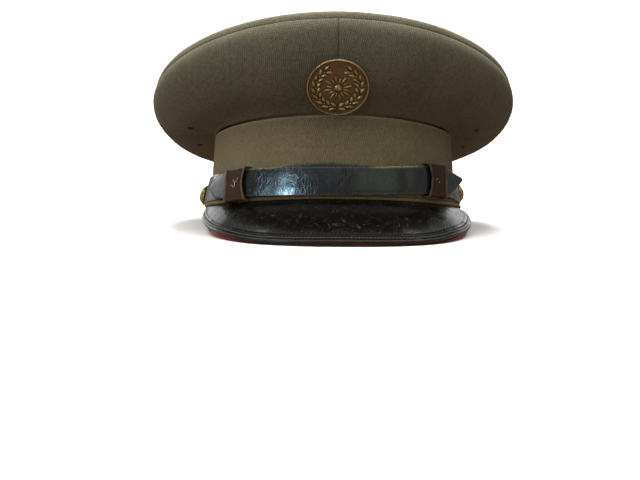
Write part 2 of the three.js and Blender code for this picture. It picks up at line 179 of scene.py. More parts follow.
class CapSizes(PropertyGroup):
    """Sizes of the cap."""

    tilt: turn("Tilt", "How far the cap leans back where it rests", 7.17)
    band_width: length("Band width", "Across the band's oval, outside", 174)
    band_length: length("Band length", "Along the band's oval, outside", 202)
    band_foot: length("Band foot", "Height of the band's lower edge over the middle of its welt", 1.6)
    band_height: length("Band height", "Height of the band's upper edge at the front and back", 54)
    band_wall: length("Band wall", "Thickness of the band", 3)
    band_taper: length("Band taper", "How much the band draws in towards its upper edge at each side", 2)
    band_dip: length("Band dip", "How far the upper edge dips at the sides", 2.5)
    flare_height: length("Flare height", "Height over which the band's sides flare out", 26)
    flare_width: length("Flare width", "How far the band's sides flare out at the bottom", 5)
    welt_radius: length("Welt radius", "Radius of the welt round the band's lower edge", 1.3)
    welt_height: length("Welt height", "Height of the middle of the welt", 0.7)
    crown_width: length("Crown width", "Across the crown's rim", 260)
    crown_length: length("Crown length", "Along the crown's rim", 284)
    crown_set_back: length("Crown set back", "How far the rim's middle lies behind the band's middle", 9)
    crown_cloth: length("Crown cloth", "Thickness of the crown's cloth", 1.8)
    front_rim: length("Front rim", "Height of the rim at the front", 106.5)
    side_rim: length("Side rim", "Height of the rim at the sides", 75)
    back_rim: length("Back rim", "Height of the rim at the back", 50)
    visor_ply: length("Visor ply", "Thickness of the visor's upper leather", 2.6)
    visor_lining: length("Visor lining", "Thickness of the visor's lining leather", 1.4)
    visor_bow: length("Visor bow", "How far the visor arches over its slope at the front", 2.5)
    visor_to_right: length("Visor offset", "How far the visor's edge stands towards the right", 2.4)
    bead_radius: length("Bead radius", "Radius of the bead round the visor's edge", 1.4)
    strap_low: length("Strap height", "Height of the strap's lower edge", 2.6)
    strap_width: length("Strap width", "Width of the chin strap", 19)
    strap_ply: length("Strap ply", "Thickness of each ply of the strap", 1.6)
    slide_wall: length("Slide wall", "Thickness of the slides' leather", 1.1)
    button_radius: length("Button radius", "Radius of the side buttons", 7.3)
    badge_radius: length("Badge radius", "Radius of the badge", 19)
    badge_height: length("Badge height", "Height on the crown's front where the badge's post meets it", 68.3)
    badge_lean: turn("Badge lean", "How far the badge faces down", 39)


class CapColours(PropertyGroup):
    """Colours of the cap."""

    crown_wool: colour("Crown wool", "Wool of the crown", "676351")
    crown_shade: colour("Crown wool shade", "Darker yarn of the crown", "444234")
    band_wool: colour("Band wool", "Wool of the band", "7a7156")
    band_shade: colour("Band wool shade", "Darker yarn of the band", "5b523c")
    welt_wool: colour("Welt wool", "Worn wool of the welt", "857a58")
    visor_black: colour("Visor leather", "Black leather of the visor", "0b0b08")
    visor_worn: colour("Visor wear", "Leather where the visor's finish has cracked", "423d31")
    # Also painted sheen: the pale grey at the visor's ends stands partly for the reflection of the pale
    # walls at a grazing angle, as well as dust.
    visor_dust_and_sheen: colour("Visor dust", "Leather rubbed grey at the visor's ends", "857f76")
    strap_black: colour("Strap leather", "Black leather of the strap", "101110")
    strap_cracked: colour("Strap cracks", "Leather in the strap's fine cracks", "3c4034")
    strap_worn: colour("Strap wear", "Bare leather at the strap's edges", "8a7c4c")
    slide_brown: colour("Slide leather", "Brown leather of the slides", "2e1b0a")
    slide_worn: colour("Slide wear", "Leather at the slides' rubbed edges", "75634b")
    maroon: colour("Lining leather", "Maroon leather under the visor", "74170f")
    maroon_worn: colour("Lining wear", "Rubbed maroon leather", "86301f")
    # Painted shade: the lining's colour at the front and away from its edge, where the visor shades it.
    maroon_painted_shade: colour("Lining grime", "Maroon leather darkened at the front", "1d1411")
    brass: colour("Badge brass", "Rubbed brass of the badge", "b39a6e")
    brass_dark: colour("Brass patina", "Brass darkened in its hollows", "50442d")
    button_brass: colour("Button brass", "Rubbed brass of the buttons", "e8cb7a")
    steel: colour("Staple wire", "Bright wire of the staples", "a39c96")
    vent_paint: colour("Vent paint", "Dark paint of the eyelets", "2b251a")
    thread: colour("Thread", "Waxed thread of the visor's stitching", "5f5443")


class CapStage(PropertyGroup):
    """Camera, light and floor."""

    distance: length("Camera distance", "Camera to the middle of the band's lower edge", 700)
    lens: FloatProperty(name="Lens", description="Focal length in millimetres", default=53.83, unit="CAMERA")
    camera_rise: turn("Camera rise", "Height angle of the camera over the cap's own level", -3.29)
    camera_aim: turn("Camera aim", "Height angle of the view over the cap's own level", 1.41)
    camera_yaw: turn("Camera yaw", "How far the camera stands to the left of the front", 1.4)
    camera_turn: turn("Camera turn", "How far the view turns left of the cap's middle", 0.73)
    camera_roll: turn("Camera roll", "Roll of the camera", 0.3)
    key_power: power("Key light", "Power of the soft light over the front", 6.8)
    ceiling_power: power("Ceiling light", "Power of the light overhead", 68)
    front_power: power("Front light", "Power of the low soft light at the front", 6.4)
    side_power: power("Side light", "Power of the light at the left side", 9)
    window_power: power("Window light", "Power of the cool light low at the left", 7.5)
    panel_power: power("Panel light", "Power of the cool light over the camera", 0.45)
    fill_power: power("Fill light", "Power of the light at the right", 1.2)
    wall_power: power("Wall light", "Power of the pale wall behind at the left", 1.2)
    back_power: power("Back light", "Power of each of the pale walls behind at the sides", 2.6)
    backdrop_power: power("Backdrop light", "Power of the light on the wall behind", 60)
    sky: FloatProperty(name="Sky", description="Strength of the light from overhead", default=1.9, min=0)
    sky_tint: colour("Sky tint", "Colour of the light from overhead", "ffffff")
    horizon_tint: colour("Horizon tint", "Colour of the light from the level of the cap", "5f6063")
    ground_tint: colour("Ground tint", "Colour of the light from below", "867062")
    floor_colour: colour("Floor", "Colour of the floor", "e9e6e2")
    cool_tint: colour("Cool tint", "Colour of the window and the panel", "b0dcf2")
    fill_tint: colour("Fill tint", "Colour of the light at the right", "dcefc0")


def sizes():
    return bpy.context.scene.cap_sizes


def colours():
    return bpy.context.scene.cap_colours


def staging():
    return bpy.context.scene.cap_stage


# Arrays and noise

def unit(vectors):
    return vectors / np.maximum(np.linalg.norm(vectors, axis=-1, keepdims=True), 1e-12)


def bump(distance, width):
    return np.exp(-(distance / width) ** 2)


def ease(share):
    share = np.clip(share, 0, 1)
    return share * share * (3 - 2 * share)


def swell(value, middle, spread):
    return 0.5 + 0.5 * np.cos(np.pi * np.clip(np.abs(value - middle) / spread, 0, 1))


def tuck(distance, depth, width):
    """How far an edge is drawn in: all the depth at the edge itself, and none from that width on."""
    return depth * np.clip(1 - distance / width, 0, 1) ** 2


def round_angles(count):
    return np.linspace(0, 2 * np.pi, count, endpoint=False)


def way_along(points):
    """How far along its row each point lies from the first."""
    paces = np.linalg.norm(np.diff(points, axis=-2), axis=-1)
    return np.concatenate([np.zeros((*paces.shape[:-1], 1)), np.cumsum(paces, axis=-1)], axis=-1)


def at_ways(wanted, way, points):
    """The points that lie those ways along a row of points."""
    return np.stack([np.interp(wanted, way, points[:, k]) for k in range(3)], -1)


def grain(points, size, seed):
    """Smooth noise from -1 to 1 at each point, with lumps about that size."""
    seed_step = 17.3
    flat = np.asarray(points).reshape(-1, 3) / size + seed * seed_step
    values = [noise.noise(Vector(p)) for p in flat]
    return np.array(values).reshape(np.asarray(points).shape[:-1])


def through(knots, count):
    """A smooth row of that many points through a few knots."""
    knots = np.asarray(knots, float)
    padded = np.vstack([2 * knots[0] - knots[1], knots, 2 * knots[-1] - knots[-2]])
    places = np.linspace(0, len(knots) - 1, count)
    row = []
    for place in places:
        i = min(int(place), len(knots) - 2)
        t = place - i
        a, b, c, d = padded[i:i + 4]
        row.append(0.5 * (2 * b + (c - a) * t + (2 * a - 5 * b + 4 * c - d) * t**2
                          + (3 * b - a - 3 * c + d) * t**3))
    return np.array(row)


def grid_normals(grid, closed):
    """Outward directions at the points of a grid whose columns run round the cap and rows run up."""
    if closed:
        along = np.roll(grid, -1, axis=0) - np.roll(grid, 1, axis=0)
    else:
        along = np.gradient(grid, axis=0)
    return unit(np.cross(along, np.gradient(grid, axis=1)))


# Surfaces of the band, the crown and the visor

def band_half_width(height):
    s = sizes()
    low = np.clip(1 - height / s.flare_height, 0, 1)
    high = np.clip((height - s.flare_height) / (s.band_height - s.flare_height), 0, 1)
    return s.band_width / 2 + s.flare_width * low**2 - s.band_taper * high


def band_top(angle):
    return sizes().band_height - sizes().band_dip * np.sin(angle) ** 2


def band_normal(angle):
    s = sizes()
    angle = np.asarray(angle, float)
    return unit(np.stack([np.sin(angle) / s.band_width, -np.cos(angle) / s.band_length, 0 * angle], -1))


def band_point(angle, offset, height):
    angle, offset, height = np.broadcast_arrays(angle, offset, height)
    across = band_half_width(height) * np.sin(angle)
    ahead = -sizes().band_length / 2 * np.cos(angle)
    return np.stack([across, ahead, height], -1) + band_normal(angle) * offset[..., None]


def round_wave(front, side, back):
    """Mean, tilt and saddle of a value that goes smoothly round the cap."""
    return (front + back) / 4 + side / 2, (front - back) / 2, (front + back) / 4 - side / 2


def station(angle, values):
    mean, tilt, saddle = round_wave(*values)
    return mean + tilt * np.cos(angle) + saddle * np.cos(2 * angle)


def rim_heights():
    s = sizes()
    return s.front_rim, s.side_rim, s.back_rim


def rim_point(angle):
    s = sizes()
    across = s.crown_width / 2 * np.sin(angle)
    ahead = s.crown_set_back - s.crown_length / 2 * np.cos(angle)
    return np.stack([across, ahead, station(angle, rim_heights())], -1)


def crown_columns(angles, shares):
    """Points on the crown's wall: a column at each angle, evenly spaced from the band to the rim."""
    step_in = 1.2 * MM
    curve_steps = 160
    foot = band_point(angles, -step_in, band_top(angles)) + GAP * UP
    rim = rim_point(angles)
    out = unit((rim - foot) * LEVEL)
    span = np.linalg.norm(rim - foot, axis=-1, keepdims=True)
    values = {key: station(angles, row)[:, None] for key, row in CROWN_STATIONS.items()}
    leave = np.radians(values["leave_angle"])
    lean = np.radians(values["rim_lean"])
    low = foot + (out * np.cos(leave) + UP * np.sin(leave)) * values["leave_share"] * span
    high = rim - (out * np.sin(lean) + UP * np.cos(lean)) * values["rim_share"] * span
    t = np.linspace(0, 1, curve_steps)[None, :, None]
    curve = ((1 - t) ** 3 * foot[:, None] + 3 * (1 - t) ** 2 * t * low[:, None]
             + 3 * (1 - t) * t**2 * high[:, None] + t**3 * rim[:, None])
    way = way_along(curve)
    way /= way[:, -1:]
    return np.array([at_ways(shares, *column) for column in zip(way, curve)])


def crown_frame(angle, share):
    """A point on the crown's wall and its outward direction."""
    beside = np.array([-0.01, 0, 0.01])
    grid = crown_columns(angle + beside, np.clip(share + beside, 0, 1))
    return grid[1, 1], grid_normals(grid, False)[1, 1]


def top_point(angle, share, inset, rise):
    """A point of the top: a share of the way from its middle to the rim, less an inset, and raised."""
    mean, tilt, saddle = round_wave(*rim_heights())
    centre = np.array([0, sizes().crown_set_back, 0])
    out = (rim_point(angle) - centre) * LEVEL
    reach = share - inset / np.linalg.norm(out, axis=-1)
    point = centre + out * reach[..., None]
    point[..., 2] = mean + tilt * reach * np.cos(angle) + saddle * reach**2 * np.cos(2 * angle) + rise
    return point


def visor_edge(degrees):
    """Reach and slope of the visor at angles from the front, as smooth curves through the table."""
    table = np.array(VISOR_EDGE, float)
    mirrored = np.vstack([table[:0:-1] * [-1, 1, 1], table])
    slopes = np.gradient(mirrored[:, 1:], mirrored[:, 0], axis=0)
    degrees = np.clip(degrees, mirrored[0, 0], mirrored[-1, 0])
    i = np.clip(np.searchsorted(mirrored[:, 0], degrees) - 1, 0, len(mirrored) - 2)
    wide = (mirrored[i + 1, 0] - mirrored[i, 0])[..., None]
    t = (degrees - mirrored[i, 0])[..., None] / wide
    a, b = mirrored[i, 1:], mirrored[i + 1, 1:]
    value = ((2 * t**3 - 3 * t**2 + 1) * a + (t**3 - 2 * t**2 + t) * wide * slopes[i]
             + (3 * t**2 - 2 * t**3) * b + (t**3 - t**2) * wide * slopes[i + 1])
    return value[..., 0] * MM, np.radians(value[..., 1])


def visor_frame(degrees):
    """Reach, start, and the ways along and above the visor's slope at each angle."""
    start_in = -0.3 * MM
    side_drop, front_rise = 0.45 * MM, 0.55 * MM
    reach, slope = visor_edge(degrees)
    angle = np.radians(degrees)
    out = band_normal(angle)
    start = band_point(angle, start_in, front_rise * np.cos(angle) ** 4 - side_drop)
    flat, steep = np.cos(slope)[..., None], np.sin(slope)[..., None]
    return reach, start, out * flat - UP * steep, out * steep + UP * flat


def visor_points(degrees, way, depth):
    """Points of the visor, a column at each angle, by the way out from the band and the depth."""
    s = sizes()
    reach, start, along, above = visor_frame(degrees)
    share = way / reach[:, None]
    bow = s.visor_bow * reach / (VISOR_EDGE[0][1] * MM)
    arch = 4 * bow[:, None] * share * (1 - share) - depth
    points = start[:, None] + along[:, None] * way[..., None] + above[:, None] * arch[..., None]
    points[..., 0] += s.visor_to_right * share
    return points


# Meshes

def cap_matrix():
    """From the cap's own frame to the frame in which it rests, found from where the band is."""
    s = sizes()
    low, high = (Vector(corner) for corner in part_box("band"))
    lean_back = Matrix.Rotation(-s.tilt, 4, "X")
    middle = lean_back @ Vector((0, 0, (s.band_foot + s.band_height) / 2))
    return Matrix.Translation((low + high) / 2 - middle) @ lean_back


class Mould:
    """Vertices, faces, face corners' places on the cloth, and wear with some painted light, gathered for one
    piece.
    """

    def __init__(self):
        self.vertices = []
        self.faces = []
        self.places = []
        self.wear = []
        self.count = 0

    def put(self, vertices, faces, places=None, wear=None):
        vertices = np.asarray(vertices, float).reshape(-1, 3)
        self.vertices.append(vertices)
        self.faces += [[int(i) + self.count for i in face] for face in faces]
        if places is None:
            places = [[vertices[i][:2] for i in face] for face in faces]
        self.places += [corner for face in places for corner in face]
        self.wear.append(np.zeros(len(vertices)) if wear is None else np.broadcast_to(wear, len(vertices)))
        self.count += len(vertices)

    def cast(self, name, material, slot, nodes, on_floor=False):
        """The finished object, leaned back as the cap rests, standing for its solids."""
        matrix = np.array(cap_matrix())
        vertices = np.vstack(self.vertices) @ matrix[:3, :3].T + matrix[:3, 3]
        if on_floor:
            vertices[:, 2] = np.maximum(vertices[:, 2], 0)
        mesh = bpy.data.meshes.new(name)
        mesh.from_pydata(vertices.tolist(), [], self.faces)
        layer = mesh.uv_layers.new(name="cloth")
        layer.data.foreach_set("uv", np.array(self.places, float).ravel())
        # The wear attribute holds real wear, and on some pieces painted light: highlight on the crown's hoop
        # and the band's upper fold, shade on the visor's lining, and a pale sheen at the visor's ends.
        wear = mesh.attributes.new("wear", "FLOAT", "POINT")
        wear.data.foreach_set("value", np.concatenate(self.wear))
        mesh.polygons.foreach_set("use_smooth", np.ones(len(mesh.polygons), bool))
        mesh.validate()
        mesh.materials.append(material)
        piece = bpy.data.objects.new(name, mesh)
        bpy.context.collection.objects.link(piece)
        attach(piece, "root")
        if nodes:
            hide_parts(*nodes)
        return piece


def ring_faces(rings, around, closed, places):
    """Faces between each ring of points and the next, and where their corners lie on the cloth."""
    faces = []
    corners = []
    for i in range(rings if closed else rings - 1):
        ahead = (i + 1) % rings
        for k in range(around):
            up = (k + 1) % around
            faces.append((i * around + k, ahead * around + k, ahead * around + up, i * around + up))
            corners.append((places[i, k], places[i + 1, k], places[i + 1, k + 1], places[i, k + 1]))
    return faces, corners


def shell(mould, outer, thickness, closed=False, places=None, wear=None, fold=1.0):
    """A wall behind a grid of points, with its two long edges folded round. Columns run along, rows up."""
    columns, rows = outer.shape[:2]
    inner = outer - grid_normals(outer, closed) * np.asarray(thickness)[..., None]
    bends = np.linspace(0, np.pi, FOLD_STEPS + 2)[1:-1][None, :, None]

    def rounded(start, end, away):
        middle = (start + end)[:, None] / 2
        half = (start - end)[:, None] / 2
        reach = np.linalg.norm(half, axis=-1, keepdims=True) * fold
        return middle + half * np.cos(bends) + away[:, None] * reach * np.sin(bends)

    def carried_round(values):
        over = np.repeat(values[:, -1:], FOLD_STEPS, axis=1)
        under = np.repeat(values[:, :1], FOLD_STEPS, axis=1)
        return np.concatenate([values, over, values[:, ::-1], under], axis=1)

    over = rounded(outer[:, -1], inner[:, -1], unit(outer[:, -1] - outer[:, -2]))
    under = rounded(inner[:, 0], outer[:, 0], unit(outer[:, 0] - outer[:, 1]))
    loops = np.concatenate([outer, over, inner[:, ::-1], under], axis=1)
    around = loops.shape[1]
    loop_places = carried_round(cloth_places(outer, closed) if places is None else places)
    loop_wear = carried_round(np.zeros((columns, rows)) if wear is None else wear)
    joined_places = np.concatenate([loop_places, loop_places[:, :1]], axis=1)
    faces, corners = ring_faces(columns, around, closed, joined_places)
    if not closed:
        last = (columns - 1) * around
        back = 2 * rows + FOLD_STEPS - 1
        strips = [(j, j + 1, back - j - 1, back - j) for j in range(rows - 1)]
        strips.append(tuple(range(rows - 1, rows + FOLD_STEPS + 1)))
        strips.append((*range(back, around), 0))
        for strip in strips:
            faces.append(strip)
            corners.append([loop_places[0][k] for k in strip])
            faces.append([last + k for k in reversed(strip)])
            corners.append([loop_places[-1][k] for k in reversed(strip)])
    mould.put(loops, faces, corners, loop_wear.ravel())


def cloth_places(grid, closed):
    """Where each point of a grid lies on its flat cloth: lengths along and up."""
    ring = grid[:, grid.shape[1] // 2]
    up = way_along(grid)
    if closed:
        ring = np.concatenate([ring, ring[:1]])
        up = np.concatenate([up, up[:1]])
    return np.stack([np.broadcast_to(way_along(ring)[:, None], up.shape), up], -1)


def tube(mould, sections, closed=False, wear=None):
    """A cord through a row of round sections, closed on itself or with rounded ends."""
    sections = np.asarray(sections)
    if not closed:
        ends = []
        for end, beside in ((0, 1), (-1, -2)):
            middle = sections[end].mean(axis=0)
            away = unit(middle - sections[beside].mean(axis=0))
            spokes = sections[end] - middle
            radius = np.linalg.norm(spokes, axis=-1).mean()
            ends.append([middle + spokes * across + away * radius * along for across, along in ROUND_END])
        sections = np.concatenate([ends[0][::-1], sections, ends[1]])
    rows, sides = sections.shape[:2]
    middles = sections.mean(axis=1)
    along = way_along(np.vstack([middles, middles[:1]]))
    girth = np.linalg.norm(sections[rows // 2, 0] - sections[rows // 2, 1])
    places = np.stack(np.meshgrid(along, np.arange(sides + 1) * girth, indexing="ij"), -1)
    faces, corners = ring_faces(rows, sides, closed, places)
    if not closed:
        faces += [range(sides), [(rows - 1) * sides + k for k in reversed(range(sides))]]
        corners += [[(0, 0)] * sides, [(along[-2], 0)] * sides]
    mould.put(sections, faces, corners, wear)


def round_sections(middles, out, up, radius, sides):
    turns = round_angles(sides)[None, :, None]
    radius = np.broadcast_to(radius, len(middles))[:, None, None]
    return middles[:, None] + (out[:, None] * np.cos(turns) + up[:, None] * np.sin(turns)) * radius


def wire(mould, path, radius, sides=8):
    """A thin round wire along a few points. No wire here runs the askew way."""
    askew = np.array([0.31, 0.17, 0.93])
    along = unit(np.gradient(np.asarray(path, float), axis=0))
    side = unit(np.cross(along, askew))
    tube(mould, round_sections(path, side, np.cross(along, side), radius, sides))


def turned(profile, steps):
    """Vertices and faces of a round body about +Z from its profile of radius and height."""
    rows = len(profile)
    vertices = [(r * math.cos(a), r * math.sin(a), h) for a in round_angles(steps) for r, h in profile]
    faces = []
    for i in range(steps):
        here, there = i * rows, (i + 1) % steps * rows
        faces += [(here + k, there + k, there + k + 1, here + k + 1) for k in range(rows - 1)]
    return np.array(vertices), faces


def facing(point, direction):
    """A turn and a place for what is made facing +Z with +Y up."""
    direction = unit(np.asarray(direction, float))
    across = unit(np.cross(UP, direction))
    return np.stack([across, np.cross(direction, across), direction], axis=1), np.asarray(point)


def placed(vertices, seat):
    basis, point = seat
    return np.asarray(vertices) @ basis.T + point


# Materials

class Nodes:
    """A tree of nodes, each added with its inputs set or linked."""

    def __init__(self, tree):
        self.nodes = tree.nodes
        self.links = tree.links

    def set(self, socket, value):
        if isinstance(value, bpy.types.NodeSocket):
            self.links.new(value, socket)
        elif socket.type == "RGBA" and len(value) == 3:
            socket.default_value = (*value, 1)
        else:
            socket.default_value = value

    def add(self, kind, inputs=None, **settings):
        made = self.nodes.new(kind)
        for key, value in settings.items():
            setattr(made, key, value)
        for socket, value in (inputs or {}).items():
            self.set(made.inputs[socket], value)
        return made


class Finish(Nodes):
    """A material put together from nodes, with coordinates on the flat cloth in metres."""

    def __init__(self, name, **constants):
        self.material = bpy.data.materials.new(name)
        self.material.use_nodes = True
        super().__init__(self.material.node_tree)
        self.shader = self.nodes["Principled BSDF"]
        for socket, value in constants.items():
            self.set(self.shader.inputs[socket.replace("_", " ")], value)
        places = self.add("ShaderNodeTexCoord").outputs
        self.flat, self.space = places["UV"], places["Object"]

    def math(self, operation, a, b):
        return self.add("ShaderNodeMath", {0: a, 1: b}, operation=operation).outputs[0]

    def times(self, a, b):
        return self.math("MULTIPLY", a, b)

    def larger(self, a, b):
        return self.math("MAXIMUM", a, b)

    def total(self, *terms):
        """The sum of values, each times its weight."""
        parts = [self.times(value, weight) for value, weight in terms]
        whole = parts[0]
        for part in parts[1:]:
            whole = self.math("ADD", whole, part)
        return whole

    def mix(self, factor, a, b):
        return self.add("ShaderNodeMix", {0: factor, 6: a, 7: b}, data_type="RGBA").outputs[2]

    def range(self, value, low, high, to_low=0.0, to_high=1.0):
        inputs = {"Value": value, "From Min": low, "From Max": high, "To Min": to_low, "To Max": to_high}
        return self.add("ShaderNodeMapRange", inputs, interpolation_type="SMOOTHSTEP").outputs[0]

    def stretched(self, space, stretch=(1, 1, 1), spin=0.0):
        inputs = {"Vector": space, "Scale": stretch, "Rotation": (0, 0, spin)}
        return self.add("ShaderNodeMapping", inputs).outputs[0]

    def noise(self, size, detail=2.0, rough=0.5, stretch=(1, 1, 1)):
        where = self.stretched(self.space, stretch)
        inputs = {"Vector": where, "Scale": 1 / size, "Detail": detail, "Roughness": rough}
        return self.add("ShaderNodeTexNoise", inputs).outputs[0]

    def ribs(self, pitch, spin, wander):
        inputs = {
            "Vector": self.stretched(self.flat, spin=spin),
            "Scale": math.pi / 10 / pitch,
            "Distortion": wander,
            "Detail": 1.0,
            "Detail Scale": 1.5,
        }
        return self.add("ShaderNodeTexWave", inputs).outputs[1]

    def cracks(self, size, line, stretch=(1, 1, 1), wobble=0.35, spin=0.0):
        """Thin lines, 1 on a crack and 0 off it, between irregular cells of that size."""
        inputs = {"Vector": self.flat, "Scale": 1.3 / size, "Detail": 3.0}
        shift = self.add("ShaderNodeTexNoise", inputs).outputs["Color"]
        scaled = self.add("ShaderNodeVectorMath", {0: shift, 1: (wobble * size,) * 3}, operation="MULTIPLY")
        moved = self.add("ShaderNodeVectorMath", {0: self.flat, 1: scaled.outputs[0]}, operation="ADD")
        where = self.stretched(self.stretched(moved.outputs[0], spin=spin), stretch)
        inputs = {"Vector": where, "Scale": 1 / size}
        cells = self.add("ShaderNodeTexVoronoi", inputs, feature="DISTANCE_TO_EDGE")
        return self.range(cells.outputs["Distance"], 0.0, line / size, 1.0, 0.0)

    def wear(self):
        return self.add("ShaderNodeAttribute", attribute_name="wear").outputs["Fac"]

    def finish(self, base, rough, height, depth, strength=1.0):
        """The colour, roughness and relief of the surface; depth is the relief's height."""
        inputs = {"Height": height, "Distance": depth, "Strength": strength}
        relief = self.add("ShaderNodeBump", inputs).outputs["Normal"]
        for socket, value in (("Base Color", base), ("Roughness", rough), ("Normal", relief)):
            self.set(self.shader.inputs[socket], value)
        return self.material


def wool(name, light, shade, sheen):
    """Close-woven wool: steep twill ribs, fibre grain, slow changes of shade, and paler where its wear
    attribute is high, which is painted highlight over the hoop and along the band's upper fold.
    """
    rib_pitch = 1.25 * MM
    steep = math.radians(12)
    f = Finish(name, Sheen_Weight=sheen, Sheen_Roughness=0.45, Sheen_Tint=light, Specular_IOR_Level=0.2)
    ribs = f.ribs(rib_pitch, steep, 1.6)
    weft = f.ribs(0.8 * rib_pitch, steep + math.pi / 2, 2.0)
    fibre = f.noise(0.9 * MM, 3.0, 0.65)
    fleck = f.noise(2.4 * MM, 2.0, 0.6)
    cloud = f.range(f.noise(38 * MM, 3.0, 0.55), 0.3, 0.7)
    tone = f.total((fibre, 0.55), (fleck, 0.45), (ribs, 0.22), (cloud, 0.1))
    pale = tuple(min(1, 1.8 * share) for share in light)
    base = f.mix(f.range(tone, 0.4, 0.95), shade, light)
    # Painted highlight: paler wool where the wear attribute is high, over the hoop and along the band's
    # upper fold.
    base = f.mix(f.times(f.wear(), 0.6), base, pale)
    relief = f.total((ribs, 0.5), (weft, 0.2), (fibre, 0.6))
    return f.finish(base, f.range(fleck, 0.2, 0.8, 0.86, 0.98), relief, 0.45 * MM, 0.8)


def visor_leather(name):
    """Black leather with a cracked, half-worn finish, dusty and painted with a pale sheen at its ends."""
    c = colours()
    scratches = ((3.1 * MM, 0.25), (3.7 * MM, 1.0), (2.8 * MM, -0.7))
    f = Finish(name, Specular_IOR_Level=0.12)
    pores = f.noise(0.7 * MM)
    patch = f.range(f.noise(13 * MM, 3.0), 0.45, 0.7)
    lines = f.times(f.cracks(1.7 * MM, 0.14 * MM, (1.0, 0.7, 1.0), 0.6), f.times(patch, 0.35))
    for size, spin in scratches:
        scratch = f.cracks(size, 0.07 * MM, (1.0, 0.09, 1.0), 0.2, spin)
        short = f.range(f.noise(1.8 * size, stretch=(1, 1, 1 + spin)), 0.5, 0.66)
        lines = f.larger(lines, f.times(scratch, short))
    # Paler with cracks and rubbed wear; at the visor's ends this and the dust below also paint a pale sheen.
    rubbed = f.larger(lines, f.times(f.wear(), f.range(pores, 0.25, 0.75, 0.3, 1.0)))
    base = f.mix(f.times(rubbed, 0.7), c.visor_black, c.visor_worn)
    base = f.mix(f.range(f.wear(), 0.3, 0.9, 0.0, 0.3), base, c.visor_dust_and_sheen)
    dull = f.total((f.noise(11 * MM, 3.0), 1.0), (lines, 0.4))
    relief = f.total((pores, 0.1), (lines, -1.0))
    return f.finish(base, f.range(dull, 0.3, 0.9, 0.16, 0.32), relief, 0.12 * MM, 0.7)


def bead_leather(name):
    """Black leather of the visor's bead, rubbed smooth, paler on its upper outer side, and dusty with a
    painted pale sheen at its ends.
    """
    c = colours()
    f = Finish(name, Coat_Weight=0.06, Coat_Roughness=0.12, Specular_IOR_Level=0.3)
    scuff = f.noise(9 * MM, 3.0)
    rubbed = f.times(f.wear(), f.range(scuff, 0.3, 0.7))
    base = f.mix(f.times(rubbed, 0.6), c.visor_black, c.visor_worn)
    # Dust and painted pale sheen at the bead's ends.
    base = f.mix(f.range(f.wear(), 0.6, 1.1, 0.0, 0.4), base, c.visor_dust_and_sheen)
    return f.finish(base, f.range(scuff, 0.3, 0.7, 0.22, 0.4), f.noise(0.8 * MM), 0.08 * MM, 0.5)


def strap_leather(name):
    """Polished black leather, crazed across, with bare edges and dull where its wear is below 0."""
    c = colours()
    f = Finish(name, Coat_Weight=0.15, Coat_Roughness=0.12, Specular_IOR_Level=0.7)
    craze = f.cracks(1.8 * MM, 0.15 * MM, (1.0, 0.3, 1.0), 0.5)
    deep = f.cracks(7 * MM, 0.2 * MM, (1.0, 0.4, 1.0), 0.8)
    patch = f.range(f.noise(22 * MM), 0.3, 0.7, 0.25, 1.0)
    lines = f.larger(f.times(craze, patch), f.times(deep, 0.6))
    bare = f.times(f.wear(), f.range(f.noise(3 * MM, 3.0), 0.3, 0.5))
    base = f.mix(f.times(lines, 0.22), c.strap_black, c.strap_cracked)
    base = f.mix(bare, base, c.strap_worn)
    dull = f.total((f.noise(14 * MM, 3.0), 1.0), (lines, 0.5))
    rough = f.math("ADD", f.range(dull, 0.3, 1.0, 0.12, 0.32), f.range(f.wear(), -1.0, 0.0, 0.6, 0.0))
    relief = f.total((f.noise(0.5 * MM), 0.12), (lines, -1.0), (f.noise(6 * MM), 0.5))
    return f.finish(base, rough, relief, 0.14 * MM, 0.3)


def slide_leather(name):
    """Dark brown leather, rubbed pale along its edges."""
    c = colours()
    f = Finish(name, Specular_IOR_Level=0.16)
    scuff = f.noise(4 * MM, 3.0)
    worn = f.times(f.wear(), f.range(scuff, 0.3, 0.6, 0.35, 1.0))
    base = f.mix(f.range(scuff, 0.35, 0.75, 0.0, 0.35), c.slide_brown, c.visor_worn)
    relief = f.total((f.noise(0.8 * MM, 3.0), 0.5), (f.cracks(2.2 * MM, 0.12 * MM), -0.5))
    rough = f.range(scuff, 0.3, 0.7, 0.45, 0.65)
    return f.finish(f.mix(worn, base, c.slide_worn), rough, relief, 0.15 * MM, 0.7)


def lining_leather(name):
    """Maroon lining leather, dull and rubbed, with painted shade where its wear is low."""
    c = colours()
    f = Finish(name, Specular_IOR_Level=0.4)
    blotch = f.noise(16 * MM, 3.0)
    clean = f.mix(f.range(blotch, 0.45, 0.75, 0.0, 0.6), c.maroon, c.maroon_worn)
    # Painted shade: darker where the wear attribute is low.
    base = f.mix(f.wear(), c.maroon_painted_shade, clean)
    rough = f.range(blotch, 0.3, 0.7, 0.42, 0.62)
    return f.finish(base, rough, f.noise(0.7 * MM, 3.0), 0.12 * MM, 0.6)


def brass(name, rubbed, rough_low, rough_high):
    """Aged brass: dark in its hollows and rubbed bright on its relief."""
    f = Finish(name, Metallic=0.9, Specular_IOR_Level=0.5)
    tarnish = f.noise(3 * MM, 3.0)
    speck = f.noise(0.6 * MM)
    bright = f.times(f.wear(), f.range(tarnish, 0.25, 0.7, 0.55, 1.0))
    bright = f.math("ADD", bright, f.range(speck, 0.5, 0.8, 0.0, 0.12))
    rough = f.range(tarnish, 0.3, 0.7, rough_low, rough_high)
    return f.finish(f.mix(bright, colours().brass_dark, rubbed), rough, speck, 0.12 * MM, 0.5)


